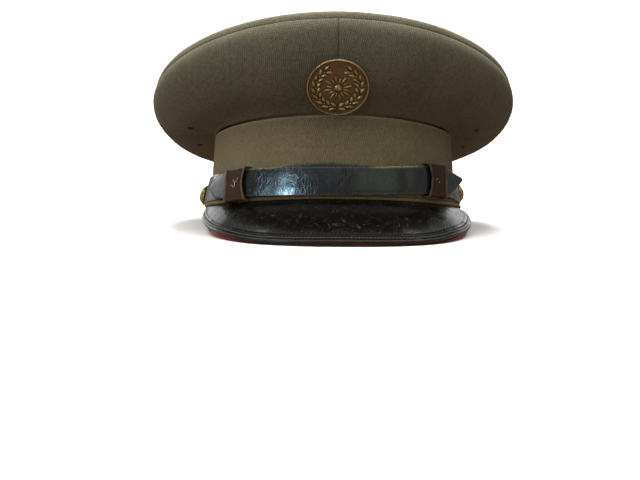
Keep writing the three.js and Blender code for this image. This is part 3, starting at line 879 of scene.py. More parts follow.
def plain_metal(name, tint, metallic, rough_low, rough_high):
    """A small metal piece with slight tarnish."""
    f = Finish(name, Metallic=metallic)
    tarnish = f.noise(1.2 * MM, 3.0)
    dull = tuple(0.55 * share for share in tint)
    base = f.mix(f.range(tarnish, 0.35, 0.75), tint, dull)
    return f.finish(base, f.range(tarnish, 0.3, 0.7, rough_low, rough_high), tarnish, 0.05 * MM, 0.5)


def waxed_thread(name):
    """Waxed linen thread."""
    light = colours().thread
    f = Finish(name, Specular_IOR_Level=0.3)
    strand = f.noise(0.4 * MM)
    base = f.mix(f.range(strand, 0.35, 0.65), tuple(0.5 * share for share in light), light)
    return f.finish(base, f.range(strand, 0.3, 0.7, 0.5, 0.7), strand, 0.08 * MM)


def kept(make, name, *values):
    """The material of that name, made once."""
    return bpy.data.materials.get(name) or make(name, *values)


def crown_wool():
    c = colours()
    return kept(wool, "crown_wool_cloth", c.crown_wool, c.crown_shade, 0.15)


# Crown

def side_fullness(angles):
    """How far the rim stands out more at the sides."""
    fullness = 2.3 * MM
    return fullness * np.sin(angles) ** 2


def side_hollow(angles, shares):
    """How far the wall below the rim is drawn in at the sides."""
    depth, middle, spread = 2.4 * MM, 0.55, 0.28
    return depth * np.sin(angles) ** 2 * bump(shares - middle, spread)


def make_crown_top():
    s = sizes()
    sag, ridge, turn_in = 1.5 * MM, 0.275 * MM, 5 * MM
    hoop_row = 28
    angles = round_angles(288)
    roll = through(np.array(RIM_ROLL) * MM, 41)
    flat_inset, flat_rise = roll[-1]
    shares = 1 - np.linspace(0, 1, 34)[1:] ** 0.85
    rise = flat_rise - sag * (1 - shares**2)
    columns = []
    for angle in angles:
        fuller = side_fullness(angle)
        edge = top_point(np.full(len(roll), angle), 1.0, roll[:, 0] - fuller, roll[:, 1])
        flat = top_point(np.full(len(shares), angle), shares, (flat_inset - fuller) * shares, rise)
        columns.append(np.vstack([edge, flat]))
    grid = np.array(columns)
    pole = grid[:, -1].mean(axis=0)
    grid[:, -1] = pole + (grid[:, -2] - pole) * 0.02
    slack = np.concatenate([np.linspace(0, 1, len(roll)) ** 3, np.ones(len(shares))])
    from_hoop = np.linalg.norm(grid - grid[:, hoop_row:hoop_row + 1], axis=-1)
    lift = (0.5 * MM * grain(grid, 55 * MM, 1) + ridge * bump(from_hoop, 2.4 * MM)) * slack
    lift += 0.12 * MM * grain(grid, 14 * MM, 2)
    grid += grid_normals(grid, True) * lift[..., None]
    places = np.concatenate([grid, grid[:1]])[..., :2]
    mould = Mould()
    # Painted highlight: the whole top is painted paler, for the light that falls on it from above.
    shell(mould, grid, s.crown_cloth, True, places, np.full(grid.shape[:2], HOOP_HIGHLIGHT))
    rows = grid.shape[1]
    around = 2 * rows + 2 * FOLD_STEPS
    for k in (rows - 1, rows + FOLD_STEPS):
        ring = [i * around + k for i in range(len(angles))]
        mould.faces.append(ring if k < rows else ring[::-1])
        mould.places += [places[i, -1] for i in range(len(angles))]
    piece = mould.cast("crown_top_cloth", crown_wool(), "crown_wool", ["crown_top"])


def make_quarter(name, start, end):
    s = sizes()
    wall, stitch_pitch = 64 * MM, 3.4 * MM
    seam_gap = 0.03 * MM / (s.band_width / 2)
    low_share, edge_share, high_share = 0.012, 0.955, 0.99
    angles = np.linspace(math.radians(start) + seam_gap, math.radians(end) - seam_gap, 150)
    shares = np.concatenate([np.linspace(low_share, edge_share, 54),
                             np.linspace(edge_share, high_share, 9)[1:]])
    grid = crown_columns(angles, shares)
    radius = np.linalg.norm(grid[..., :2], axis=-1)
    seam = np.minimum(angles - angles[0], angles[-1] - angles)[:, None] * radius
    below_rim = np.broadcast_to((1 - shares) * wall, seam.shape)
    stitch = 1 + 0.3 * np.sin(2 * np.pi * shares * wall / stitch_pitch)
    lift = 0.15 * MM * bump(seam - 2.8 * MM, 1.8 * MM) - 0.22 * MM * bump(seam, 0.7 * MM) * stitch
    lift -= tuck(below_rim, 1.1 * MM, 7 * MM) + tuck(below_rim, 1.9 * MM, 10 * MM)
    lift += 1.2 * MM * bump(below_rim - 16 * MM, 12 * MM) - 0.3 * MM * bump(below_rim, 0.8 * MM)
    lift += side_fullness(angles)[:, None] * ease((shares - 0.6) / 0.4)
    lift -= side_hollow(angles[:, None], shares)
    lift += 0.55 * MM * grain(grid, 46 * MM, 3) * np.clip(below_rim / (18 * MM), 0, 1)
    lift += 0.14 * MM * grain(grid, 13 * MM, 4)
    grid += grid_normals(grid, False) * lift[..., None]
    mould = Mould()
    # Painted highlight: the wool is painted paler just below the rim, for the light that falls on the rolled
    # edge from above.
    shell(mould, grid, s.crown_cloth, wear=HOOP_HIGHLIGHT * bump(below_rim, HIGHLIGHT_REACH))
    piece = mould.cast(f"{name}_cloth", crown_wool(), "crown_wool", [name])
    drill_vents(piece, start, end)
    around = way_along(grid[:, len(shares) // 2])[-1]


def vent_seats():
    """Name and angle of every vent, and its seat: a point on the cloth and its outward direction."""
    for number, degrees, share in VENT_PLACES:
        for side, angle in (("right", math.radians(degrees)), ("left", math.radians(360 - degrees))):
            point, direction = crown_frame(angle, share)
            yield f"vent_{side}_{number}", angle, (point - direction * side_hollow(angle, share), direction)


def drill_vents(piece, start, end):
    """Cuts the vents' holes through a quarter's cloth."""
    radius, reach = 1.75 * MM, 5 * MM
    vertices, faces = turned([(0, -reach), (radius, -reach), (radius, reach), (0, reach)], 20)
    cutter = Mould()
    for _, angle, seat in vent_seats():
        if start < math.degrees(angle) < end:
            cutter.put(placed(vertices, facing(*seat)), faces)
    if not cutter.count:
        return
    matrix = cap_matrix()
    mesh = bpy.data.meshes.new("vent_drill")
    mesh.from_pydata([matrix @ Vector(v) for v in np.vstack(cutter.vertices)], [], cutter.faces)
    weld(mesh)
    drill = bpy.data.objects.new("vent_drill", mesh)
    bpy.context.collection.objects.link(drill)
    cut = piece.modifiers.new("vents", "BOOLEAN")
    cut.operation = "DIFFERENCE"
    cut.solver = "EXACT"
    cut.object = drill
    result = bpy.data.meshes.new_from_object(piece.evaluated_get(bpy.context.evaluated_depsgraph_get()))
    piece.modifiers.clear()
    old = piece.data
    piece.data = result
    bpy.data.meshes.remove(old)
    bpy.data.objects.remove(drill)
    bpy.data.meshes.remove(mesh)


def weld(mesh):
    """Joins the corners of a mesh that lie on each other."""
    work = bmesh.new()
    work.from_mesh(mesh)
    bmesh.ops.remove_doubles(work, verts=work.verts, dist=1e-6)
    bmesh.ops.recalc_face_normals(work, faces=work.faces)
    work.to_mesh(mesh)
    work.free()


def make_vents():
    material = kept(plain_metal, "dark_eyelet_paint", colours().vent_paint, 0.4, 0.4, 0.6)
    inside = -2.6
    profile = np.array([
        (1.15, inside),
        (1.55, inside),
        (1.6, -0.2),
        (2.3, 0.0),
        (2.4, 0.25),
        (2.1, 0.6),
        (1.65, 0.7),
        (1.25, 0.45),
        (1.15, 0.0),
        (1.15, inside),
    ]) * MM
    vertices, faces = turned(profile, 28)
    for name, _, seat in vent_seats():
        mould = Mould()
        mould.put(placed(vertices, facing(*seat)), faces)
        piece = mould.cast(f"{name}_eyelet", material, "vent_metal", [name])
        weld(piece.data)


# Band

def make_band():
    s = sizes()
    c = colours()
    girth_row = 20
    fold = s.band_wall / 2
    low = s.band_foot + fold
    angles = round_angles(320)
    top = band_top(angles)[:, None] - fold
    share = np.concatenate([np.linspace(0, 0.94, 40), np.linspace(0.94, 1, 7)[1:]])
    height = low + (top - low) * share
    grid = band_point(angles[:, None], 0.0, height)
    back_seam = np.abs(angles - np.pi)[:, None] * s.band_length / 2
    lift = 0.3 * MM * grain(grid, 42 * MM, 5) + 0.1 * MM * grain(grid, 11 * MM, 6)
    lift -= 0.6 * MM * bump(back_seam, 0.9 * MM)
    grid += grid_normals(grid, True) * np.minimum(lift, 0.2 * MM)[..., None]
    # Painted highlight: the wool is painted paler along the band's upper fold, where its edge catches the
    # light.
    wear = bump(top - height, 0.8 * MM) * (0.7 + 0.3 * grain(grid, 8 * MM, 15))
    mould = Mould()
    shell(mould, grid, s.band_wall, True, wear=wear, fold=0.5)
    material = kept(wool, "band_wool_cloth", c.band_wool, c.band_shade, 0.15)
    piece = mould.cast("band_cloth", material, "band_wool", ["band"])
    girth = way_along(grid[:, girth_row])[-1]


def make_welt():
    s = sizes()
    c = colours()
    set_in, ripple_pitch = 0.3 * MM, 3.2 * MM
    angles = round_angles(640)
    thinned = 0.4 * MM * np.clip(np.cos(angles), 0, 1) ** 4
    middles = band_point(angles, -set_in, s.welt_height + thinned)
    ripple = np.sin(2 * np.pi * way_along(middles) / ripple_pitch) + grain(middles, 9 * MM, 7)
    radius = (s.welt_radius - thinned) * (1 + 0.05 * ripple)
    up = np.broadcast_to(UP, middles.shape)
    mould = Mould()
    tube(mould, round_sections(middles, band_normal(angles), up, radius, 14), closed=True)
    material = kept(wool, "worn_welt_wool", c.welt_wool, c.band_shade, 0.2)
    mould.cast("band_welt_cord", material, "band_wool", ["band_welt"], on_floor=True)


# Visor

# The angle at which the visor ends, and how far in from its edge the upper leather stops for the bead.
VISOR_HALF = VISOR_EDGE[-1][0]
VISOR_TRIM = 2.3 * MM

# How round the upper leather's edge is, and how far in from there the nearer creased line runs.
VISOR_FOLD = 0.2
NEAR_LINE = 1.3 * MM


def visor_columns(trim, count):
    """Angles across the visor, closer together towards its rounded ends."""
    crowding = 0.28
    even = np.linspace(-1, 1, count)
    return (VISOR_HALF - trim) * ((1 - crowding) * even + crowding * np.sin(np.pi / 2 * even))


def visor_flat(degrees):
    """How far out from the band the visor's upper leather goes before its edge rounds off."""
    return visor_edge(degrees)[0] - VISOR_TRIM - VISOR_FOLD * sizes().visor_ply / 2


def visor_dust_and_sheen_ends(degrees):
    """How near the visor's ends each angle is, from 0 to 1: there the leather is rubbed and dusty, and
    painted with a pale sheen.
    """
    pale_from, pale_over = 42, 22
    return ease((np.abs(degrees) - pale_from) / pale_over)


def make_visor():
    s = sizes()
    far_line, line_width, line_depth = 3.5 * MM, 0.42 * MM, 0.42 * MM
    between = (NEAR_LINE + far_line) / 2
    degrees = visor_columns(2, 260)
    outer_way = visor_flat(degrees)[:, None]
    from_edge = np.concatenate([np.linspace(0, 6, 25), np.linspace(6, 43.2, 30)[1:]]) * MM
    scale = outer_way / from_edge[-1]
    crowd = ease(from_edge / from_edge[-1])
    away = np.where(scale < 0.5, from_edge * scale, from_edge * (1 + (scale - 1) * crowd))
    away = np.minimum(away, outer_way)
    grid = visor_points(degrees, outer_way - away, 0.0)
    lines = bump(away - NEAR_LINE, line_width) + bump(away - far_line, line_width)
    lift = 0.14 * MM * bump(away - between, 0.7 * MM) - line_depth * lines
    lift *= np.clip(outer_way / (9 * MM), 0, 1)
    lift += 0.3 * MM * grain(grid, 30 * MM, 8) * np.clip(away / (8 * MM), 0, 1)
    lift += 0.08 * MM * grain(grid, 7 * MM, 9)
    grid += grid_normals(grid, False) * lift[..., None]
    # At the ends the wear also carries dust and a painted pale sheen.
    ends = visor_dust_and_sheen_ends(degrees)[:, None] * (0.6 + 0.4 * bump(away, 3 * MM))
    wear = 0.3 * bump(away, 0.9 * MM) + 0.12 * bump(away - between, 0.6 * MM) + 0.75 * ends
    mould = Mould()
    shell(mould, grid, s.visor_ply, wear=wear, fold=VISOR_FOLD)
    material = kept(visor_leather, "cracked_visor_leather")
    mould.cast("visor_leather", material, "visor_leather", ["visor"])


def make_visor_lining():
    s = sizes()
    degrees = visor_columns(3.5, 220)
    from_front = np.abs(degrees)
    fold = s.visor_lining / 2
    inset = 2 * MM * swell(degrees, 0, 40) + 4 * MM * ease((from_front - 66) / 16) + fold * 0.6
    outer_way = (visor_edge(degrees)[0] - inset)[:, None]
    way = outer_way * (1 - np.linspace(0, 1, 34))
    grid = visor_points(degrees, way, s.visor_ply + 2 * GAP)
    # The wear sets painted shade: the lining is painted dark at the front and away from its edge, where the
    # visor shades it, and lighter at the sides and along the edge; the bump just right of the front is a
    # real worn patch.
    sides = ease((from_front - 22) / 26)[:, None]
    wear = (0.15 + 0.85 * sides) * (0.6 + 0.4 * bump(outer_way - way, 1.6 * MM))
    wear += 0.5 * bump(degrees - 5, 2.2)[:, None]
    deeper = 1 + 0.8 * (1 - ease((from_front - 50) / 24))[:, None]
    mould = Mould()
    shell(mould, grid, s.visor_lining * deeper, wear=wear)
    material = kept(lining_leather, "maroon_lining_leather")
    mould.cast("visor_lining", material, "under_leather", ["visor_under"], on_floor=True)


def make_visor_bead():
    s = sizes()
    proud, sides = 0.2 * MM, 16
    degrees = visor_columns(0, 300)
    reach, _, along, above = visor_frame(degrees)
    middles = visor_points(degrees, (reach - s.bead_radius)[:, None], s.bead_radius - proud)[:, 0]
    radius = s.bead_radius * (1 + 0.03 * grain(middles, 7 * MM, 10))
    # Paler on the bead's upper outer side all along; at its ends also dust and a painted pale sheen.
    facing_up = np.clip(np.cos(round_angles(sides) - np.pi / 3), 0, 1)
    rub = 0.5 * facing_up * (0.7 + 0.3 * grain(middles, 12 * MM, 11))[:, None]
    rub += 0.9 * visor_dust_and_sheen_ends(degrees)[:, None]
    wear = np.pad(rub, ((len(ROUND_END), len(ROUND_END)), (0, 0)), mode="edge").ravel()
    mould = Mould()
    tube(mould, round_sections(middles, along, above, radius, sides), wear=wear)
    material = kept(bead_leather, "rubbed_bead_leather")
    mould.cast("visor_bead_leather", material, "visor_leather", ["visor_bead"], on_floor=True)


def make_visor_stitches():
    """The row of thread in the visor's creased line nearer its edge."""
    pitch, sink = 2.3 * MM, 0.18 * MM
    degrees = np.linspace(-78, 78, 2000)
    way = visor_flat(degrees) - NEAR_LINE
    path = visor_points(degrees, way[:, None], 0.28 * MM)[:, 0]
    run = way_along(path)
    mould = Mould()
    for start in np.arange(0.5 * pitch, run[-1] - pitch, pitch):
        stitch = at_ways(start + np.array([0, 0.25, 0.5, 0.75]) * pitch * 0.9, run, path)
        stitch[[0, -1], 2] -= sink
        wire(mould, stitch, 0.3 * MM, 6)
    mould.cast("visor_stitches", kept(waxed_thread, "waxed_thread"), "visor_leather", [])


# Chin strap

def strap_lift(degrees):
    """How far the strap stands off the band: more where the slides go round it."""
    past = [np.maximum(0, np.maximum(low - degrees, degrees - high)) for _, low, high, _ in SLIDES]
    return GAP + 1.5 * MM * swell(np.min(past, axis=0), 0, 12)


def strap_rise(degrees):
    """How far the strap rises at the right, hangs at the left and sags at the front."""
    right = 2.4 * MM * swell(degrees, 48, 36)
    left = 0.6 * MM * (1 - ease((degrees + 25) / 50))
    return right - left - 0.7 * MM * swell(degrees, 0, 40)


def strap_points(degrees, offset, share, rise):
    """Points on the strap, which is straight from its lower edge to its upper edge."""
    s = sizes()
    angle = np.radians(degrees)[:, None]
    low = band_point(angle, offset, s.strap_low + rise)
    high = band_point(angle, offset, s.strap_low + rise + s.strap_width)
    return low + (high - low) * share[..., None]


def strap_mould(degrees, offset, width, rise, bare, lift=None, dull=0.0):
    """A ply of the strap: how rubbed its upper edge is at each angle, and how dull both edges are."""
    s = sizes()
    across = np.concatenate([np.linspace(-1, -0.9, 5), np.linspace(-0.86, 0.86, 23), np.linspace(0.9, 1, 5)])
    narrow = width[:, None] - s.strap_ply
    share = 0.5 + 0.5 * across[None, :] * narrow / s.strap_width
    from_edge = (1 - np.abs(across))[None, :] * narrow / 2
    cup = -0.28 * MM * np.abs(across[None, :]) ** 3
    extra = cup if lift is None else cup + lift(degrees[:, None], share)
    grid = strap_points(degrees, offset[:, None] + extra, share, rise[:, None])
    crease = 0.05 * MM * bump(from_edge - 1.5 * MM, 0.4 * MM)
    wave = 0.16 * MM * grain(grid, 13 * MM, 12) + 0.22 * MM * grain(grid, 34 * MM, 13)
    grid += grid_normals(grid, False) * (wave - crease)[..., None]
    wear = bump(from_edge, 0.6 * MM) * np.where(across > 0, bare[:, None], 0.12)
    wear -= bump(from_edge, 1.1 * MM) * np.broadcast_to(dull, degrees.shape)[:, None]
    mould = Mould()
    shell(mould, grid, s.strap_ply, wear=wear, fold=0.7)
    return mould


def make_under_strap():
    s = sizes()
    end, end_taper, end_width = 98, 7, 10 * MM
    degrees = np.linspace(-end, end, 420)
    rounding = np.clip(1 - (end - np.abs(degrees)) / end_taper, 0, 1) ** 2
    width = s.strap_width + (end_width - s.strap_width) * rounding
    rise = strap_rise(degrees) + 2.6 * MM * swell(degrees, -5, 30)
    bare = 0.1 + ease((degrees - 14) / 8) + 0.7 * bump(degrees + 27, 6)
    under = strap_mould(degrees, strap_lift(degrees) + s.strap_ply, width, rise, np.clip(bare, 0, 1))
    material = kept(strap_leather, "polished_strap_leather")
    under.cast("strap_under_leather", material, "strap_leather", ["strap_under"])


def make_front_strap():
    s = sizes()
    left, left_tip, left_width = -66, 9, 2.5 * MM
    right, right_tip, right_width = 63.5, 10, 4 * MM
    curl_from, curl, curl_rise = 51, 4 * MM, 3 * MM
    lift_from, left_lift = -52, 0.7 * MM
    degrees = np.linspace(left, right, 340)
    from_tip = np.minimum((degrees - left) / left_tip, (right - degrees) / right_tip)
    tip_width = np.where(degrees < 0, left_width, right_width)
    width = tip_width + (s.strap_width - tip_width) * np.clip(from_tip, 0, 1)
    curled = np.clip((degrees - curl_from) / (right - curl_from), 0, 1) ** 1.5
    offset = strap_lift(np.minimum(degrees, curl_from)) + 2 * s.strap_ply + GAP + curl * curled
    offset += left_lift * np.clip((lift_from - degrees) / 10, 0, 1)
    rise = strap_rise(np.minimum(degrees, 48)) + curl_rise * curled
    bare = 0.1 + ease((degrees - 12) / 6) * (1 - ease((degrees - 33) / 5)) + 0.8 * bump(degrees + 30, 5)
    dull = np.clip((-50 - degrees) / 3, 0, 1)
    front = strap_mould(degrees, offset, width, rise, np.clip(bare, 0, 1), strap_crease, dull)
    material = kept(strap_leather, "polished_strap_leather")
    front.cast("strap_front_leather", material, "strap_leather", ["strap_front"])


def strap_crease(degrees, share):
    """The slanting crease in the strap's front: its left side leans back from the line."""
    foot, run, settle = -3.3 * MM, 16 * MM, 7 * MM
    x = sizes().band_width / 2 * np.sin(np.radians(degrees))
    beyond = (foot + run * share**1.25 - x) * 0.72
    lean = 0.5 * MM * (1 - np.exp(-np.clip(beyond, 0, None) / settle)) * swell(degrees, -8, 34)
    return -lean - 0.22 * MM * bump(beyond, 0.5 * MM)


# Slides and staples

def slide_section(degrees, turns):
    """A slide's outline round both plies at one angle: offsets from the band, and heights."""
    s = sizes()
    corner, pillow = 1.3 * MM, 0.6 * MM
    out, up = np.cos(turns), np.sin(turns)
    near = strap_lift(degrees) - GAP - s.slide_wall
    far = strap_lift(degrees) + 2 * s.strap_ply + 2 * GAP + s.slide_wall
    low = s.strap_low + strap_rise(degrees) - GAP - s.slide_wall
    high = low + s.strap_width + 2 * GAP + 2 * s.slide_wall
    reach = (near + far) / 2 + ((far - near) / 2 - corner) * np.clip(2.2 * out, -1, 1) + corner * out
    height = (low + high) / 2 + ((high - low) / 2 - corner) * np.clip(1.45 * up, -1, 1) + corner * up
    return reach + pillow * np.clip(out, 0, 1) ** 3, height


def make_slides():
    s = sizes()
    material = kept(slide_leather, "brown_slide_leather")
    fold, lean, hollow = 0.35, 0.9, 1.5
    turns = round_angles(96)
    front = np.cos(turns)
    worn_ends = 0.7 * bump(np.abs(np.sin(turns)) - 0.93, 0.07) * (front > 0)
    for side, start, end, drop_mm in SLIDES:
        drop = drop_mm * MM
        degrees = np.linspace(start + fold, end - fold, 44)
        columns = []
        for d in degrees:
            reach, height = slide_section(d, turns)
            level = (height - height.mean()) / (s.strap_width / 2)
            inward = 1 - (np.abs(d) - min(abs(start), abs(end))) / (end - start)
            bowed = hollow * inward**3 * np.clip(1 - level**2, 0, 1) * np.clip(2 * front, 0, 1)
            height -= drop * (1 - inward) + 0.5 * drop * np.clip(level, 0, None)
            leaned = d + np.sign(d) * (lean * level + bowed)
            columns.append(band_point(np.radians(leaned), reach, height))
        grid = np.swapaxes(np.array(columns), 0, 1)[::-1]
        half_wide = np.linalg.norm(grid[0, 0] - grid[0, -1]) / 2
        from_side = (1 - np.abs(np.linspace(-1, 1, len(degrees)))) * half_wide
        ridge = 0.8 * MM * bump(from_side, 1.0 * MM) - 0.2 * MM * bump(from_side - 2.4 * MM, 1.0 * MM)
        grid += grid_normals(grid, True) * (ridge + 0.1 * MM * grain(grid, 6 * MM, 14))[..., None]
        wear = 0.7 * bump(from_side - 0.3 * MM, 0.5 * MM) + worn_ends[::-1, None]
        mould = Mould()
        shell(mould, grid, s.slide_wall, True, wear=np.clip(wear, 0, 1))
        mould.cast(f"slide_{side}_leather", material, "slide_leather", [f"slide_{side}"])


def make_staples():
    s = sizes()
    material = kept(plain_metal, "staple_wire", colours().steel, 1.0, 0.25, 0.45)
    strokes = {
        "left": (
            ((-3.4, -0.9), (-1.3, -1.7), (0.3, -4.1)),
            ((-1.2, 2.4), (0.8, 0.3), (0.4, -3.6)),
            ((1.0, 0.4), (2.9, 1.2), (3.9, 3.4)),
        ),
        "right": (
            ((-2.2, 0.4), (-2.0, 0.7), (-1.8, 0.9)),
            ((0.2, -1.3), (0.5, -1.1), (0.8, -0.8)),
        ),
    }
    radius = {"left": 0.5 * MM, "right": 0.6 * MM}
    arch = (-0.1, 0.2, -0.1)
    for side, start, end, _ in SLIDES:
        d = (start + end) / 2
        face = strap_lift(d) + 2 * s.strap_ply + 2 * GAP + s.slide_wall
        point = strap_points(np.array([d]), face + 0.1 * MM, np.array([[0.5]]), strap_rise(d))[0, 0]
        seat = facing(point, band_normal(math.radians(d)))
        mould = Mould()
        for stroke in strokes[side]:
            path = [(x * MM, y * MM, z * MM) for (x, y), z in zip(stroke, arch)]
            wire(mould, placed(path, seat), radius[side])
        mould.cast(f"staple_{side}_wire", material, "staple_steel", [f"staple_{side}"])


# Buttons and badge

def make_buttons():
    s = sizes()
    material = kept(brass, "aged_brass_button", colours().button_brass, 0.16, 0.3)
    r = s.button_radius / MM
    profile = through([
        (0.01, 0.0),
        (0.66 * r, 0.0),
        (0.95 * r, 0.6),
        (r, 1.3),
        (0.97 * r, 1.9),
        (0.89 * r, 2.1),
        (0.86 * r, 2.3),
        (0.78 * r, 3.4),
        (0.58 * r, 4.5),
        (0.3 * r, 5.2),
        (0.01, 5.4),
    ], 60) * MM
    vertices, faces = turned(profile, 72)
    wear = 0.35 + 0.65 * ease((vertices[:, 2] - 1 * MM) / (5 * MM))
    for side, degrees, height in (("left", -92, 9 * MM), ("right", 92, 12 * MM)):
        offset = strap_lift(np.array(degrees)) + s.strap_ply + GAP
        share = np.array([[(height - s.strap_low) / s.strap_width, 0.0, 1.0]])
        point, low, high = strap_points(np.array([degrees]), offset, share, 0.0)[0]
        along = np.cross(UP, band_normal(math.radians(degrees)))
        mould = Mould()
        mould.put(placed(vertices, facing(point, np.cross(along, high - low))), faces, wear=wear)
        piece = mould.cast(f"button_{side}_brass", material, "aged_brass", [f"button_{side}"])
        weld(piece.data)


def leaf(length_mm, width_mm, height_mm):
    """A pointed leaf lying along +X on the plate, with a raised rib down its middle."""
    rows, across, sink = 9, 7, 0.4 * MM
    t = np.linspace(0, 1, rows)[:, None]
    v = np.linspace(-1, 1, across)[None, :]
    x = length_mm * (t - 0.5) + 0 * v
    y = width_mm / 2 * np.sin(np.pi * np.clip(t, 0.02, 0.98)) ** 0.75 * v
    z = height_mm * np.sin(np.pi * np.clip(t, 0.03, 0.97)) ** 0.5 * (1 - 0.75 * v**2) + 0.18 * bump(v, 0.18)
    top = np.stack([x, y, z], -1).reshape(-1, 3) * MM
    count = rows * across
    spots = np.arange(count).reshape(rows, across)
    faces = []
    for a, b in zip(spots[:-1, :-1].ravel(), spots[1:, :-1].ravel()):
        faces.append((a, b, b + 1, a + 1))
        faces.append((count + a + 1, count + b + 1, count + b, count + a))
    border = [*spots[:-1, 0], *spots[-1, :-1], *spots[:0:-1, -1], *spots[0, :0:-1]]
    faces += [(a, count + a, count + b, b) for a, b in zip(border, border[1:] + border[:1])]
    return np.vstack([top, top * LEVEL - sink * UP]), faces


def dome(radius_mm, height_mm, steps):
    """A round knob standing on the plate."""
    bend = np.linspace(0, np.pi / 2, 6)
    profile = np.stack([radius_mm * np.cos(bend), height_mm * np.sin(bend)], -1)
    profile[-1, 0] = 0.02
    return turned(np.vstack([(radius_mm, -0.4), profile]) * MM, steps)


def spun(vertices, degrees):
    a = math.radians(degrees)
    spin = np.array([[math.cos(a), -math.sin(a), 0], [math.sin(a), math.cos(a), 0], [0, 0, 1]])
    return np.asarray(vertices) @ spin.T


def field_height(radius_mm):
    """Height of the badge's field, which is a shallow dome inside its rim."""
    return 1.0 + 0.6 * (1 - (radius_mm / FIELD_RADIUS) ** 2)


def on_field(radius_mm, degrees, sink_mm=0.0):
    """A place on the badge's field, by its way from the middle and its angle."""
    a = math.radians(degrees)
    x, y = radius_mm * math.cos(a), radius_mm * math.sin(a)
    return np.array([x, y, field_height(radius_mm) - sink_mm]) * MM


def wreath():
    """Two rows of leaves up each side of the badge, with a berry beside each pair."""
    first, step, berry_ahead = 12, 17.5, math.degrees(0.13)
    for side in (1, -1):
        for k in range(9):
            place = -90 + side * (first + step * k)
            for length_mm, radius_mm, tip_turn in ((5.6, 14.9, 24), (4.9, 11.7, -28)):
                vertices, faces = leaf(length_mm, 2.7, 1.35)
                vertices = spun(vertices, place + side * (90 - tip_turn))
                yield vertices + on_field(radius_mm, place, 0.15), faces
            vertices, faces = dome(0.65, 1.1, 10)
            yield vertices + on_field(13.3, place + side * berry_ahead), faces


def rosette():
    """Long and short rays by turns round a boss."""
    rays = 16
    for k in range(rays):
        length_mm, radius_mm = ((6.6, 6.1), (4.6, 5.1))[k % 2]
        place = 360 / rays * (k + 0.5)
        vertices, faces = leaf(length_mm, 1.8, 1.3)
        yield spun(vertices, place) + on_field(radius_mm, place, 0.1), faces
    vertices, faces = dome(2.7, 1.9, 28)
    yield vertices + on_field(0, 0), faces


def rim_beads():
    """A ring of small beads inside the badge's rim."""
    beads = 64
    vertices, faces = dome(0.42, 0.5, 8)
    for k in range(beads):
        yield vertices + on_field(17.1, 360 / beads * k), faces


def make_badge():
    s = sizes()
    r = s.badge_radius / MM
    post_length, post_radius, hub = 1.5, 2.5, 0.02
    face = np.array([0, -math.cos(s.badge_lean), -math.sin(s.badge_lean)])
    column = crown_columns(np.array([0.0]), np.linspace(0, 1, 400))[0]
    cloth = column[np.argmin(np.abs(column[:, 2] - s.badge_height))]
    seat = facing(cloth + face * (post_length * MM + GAP), face)
    back = [(hub, 0.0), (r - 4, 0.0)]
    rim = through([
        (r - 0.9, 0.0),
        (r - 0.1, 0.6),
        (r, 1.3),
        (r - 0.25, 1.95),
        (r - 0.7, 2.0),
        (r - 1.05, 1.6),
        (r - 1.2, 1.1),
    ], 36)
    field = [(q, field_height(q)) for q in np.linspace(FIELD_RADIUS, hub, 30)]
    vertices, faces = turned(np.vstack([back, rim, field]) * MM, 120)
    radius = np.linalg.norm(vertices[:, :2], axis=-1) / MM
    wear = 0.95 * bump(radius - (r - 0.45), 0.5) * (vertices[:, 2] > 1.1 * MM) + 0.25
    mould = Mould()
    mould.put(placed(vertices, seat), faces, wear=wear)
    for vertices, faces in (*wreath(), *rosette(), *rim_beads()):
        above = vertices[:, 2] / MM - 1.6
        wear = np.clip(0.2 + 0.95 * ease(above / 0.75), 0, 1)
        mould.put(placed(vertices, seat), faces, wear=wear)
    post = [(hub, -post_length), (post_radius, -post_length), (post_radius, 0.2), (hub, 0.2)]
    vertices, faces = turned(np.array(post) * MM, 24)
    mould.put(placed(vertices, seat), faces)
    material = kept(brass, "aged_brass_badge", colours().brass, 0.34, 0.52)
    piece = mould.cast("badge_brass", material, "aged_brass", ["badge"])
    weld(piece.data)


# Stage

def way_out(left, height):
    """A direction, by its angles to the left of the front and over the level."""
    return Vector((-math.sin(left) * math.cos(height), -math.cos(left) * math.cos(height), math.sin(height)))


def make_camera():
    stage = staging()
    yaw, roll, turned_left = stage.camera_yaw, stage.camera_roll, stage.camera_turn
    away = way_out(yaw, stage.camera_rise)
    forward = -way_out(yaw, -stage.camera_aim)
    right = Vector((math.cos(yaw), -math.sin(yaw), 0))
    up = right.cross(forward)
    across = right * math.cos(roll) + up * math.sin(roll)
    upright = up * math.cos(roll) - right * math.sin(roll)
    ahead = forward * math.cos(turned_left) - across * math.sin(turned_left)
    across = across * math.cos(turned_left) + forward * math.sin(turned_left)
    view = Matrix((across, upright, -ahead)).transposed().to_4x4()
    camera = bpy.data.objects.new("camera", bpy.data.cameras.new("camera"))
    camera.data.lens = stage.lens
    camera.data.sensor_width = 36
    camera.matrix_world = cap_matrix() @ Matrix.Translation(away * stage.distance) @ view
    bpy.context.collection.objects.link(camera)
    bpy.context.scene.camera = camera


def make_light(name, left, height, distance, size, watts, tint=(1, 1, 1), aim=(0, 0, 0.05)):
    """An area light, placed by its angles to the left of the front and over the level, in degrees."""
    away = way_out(math.radians(left), math.radians(height))
    data = bpy.data.lights.new(name, "AREA")
    data.shape = "RECTANGLE"
    data.size, data.size_y = size
    data.energy = watts
    data.color = tint
    light = bpy.data.objects.new(name, data)
    light.location = Vector(aim) + away * distance
    light.rotation_euler = away.to_track_quat("Z", "Y").to_euler()
    bpy.context.collection.objects.link(light)
    return light


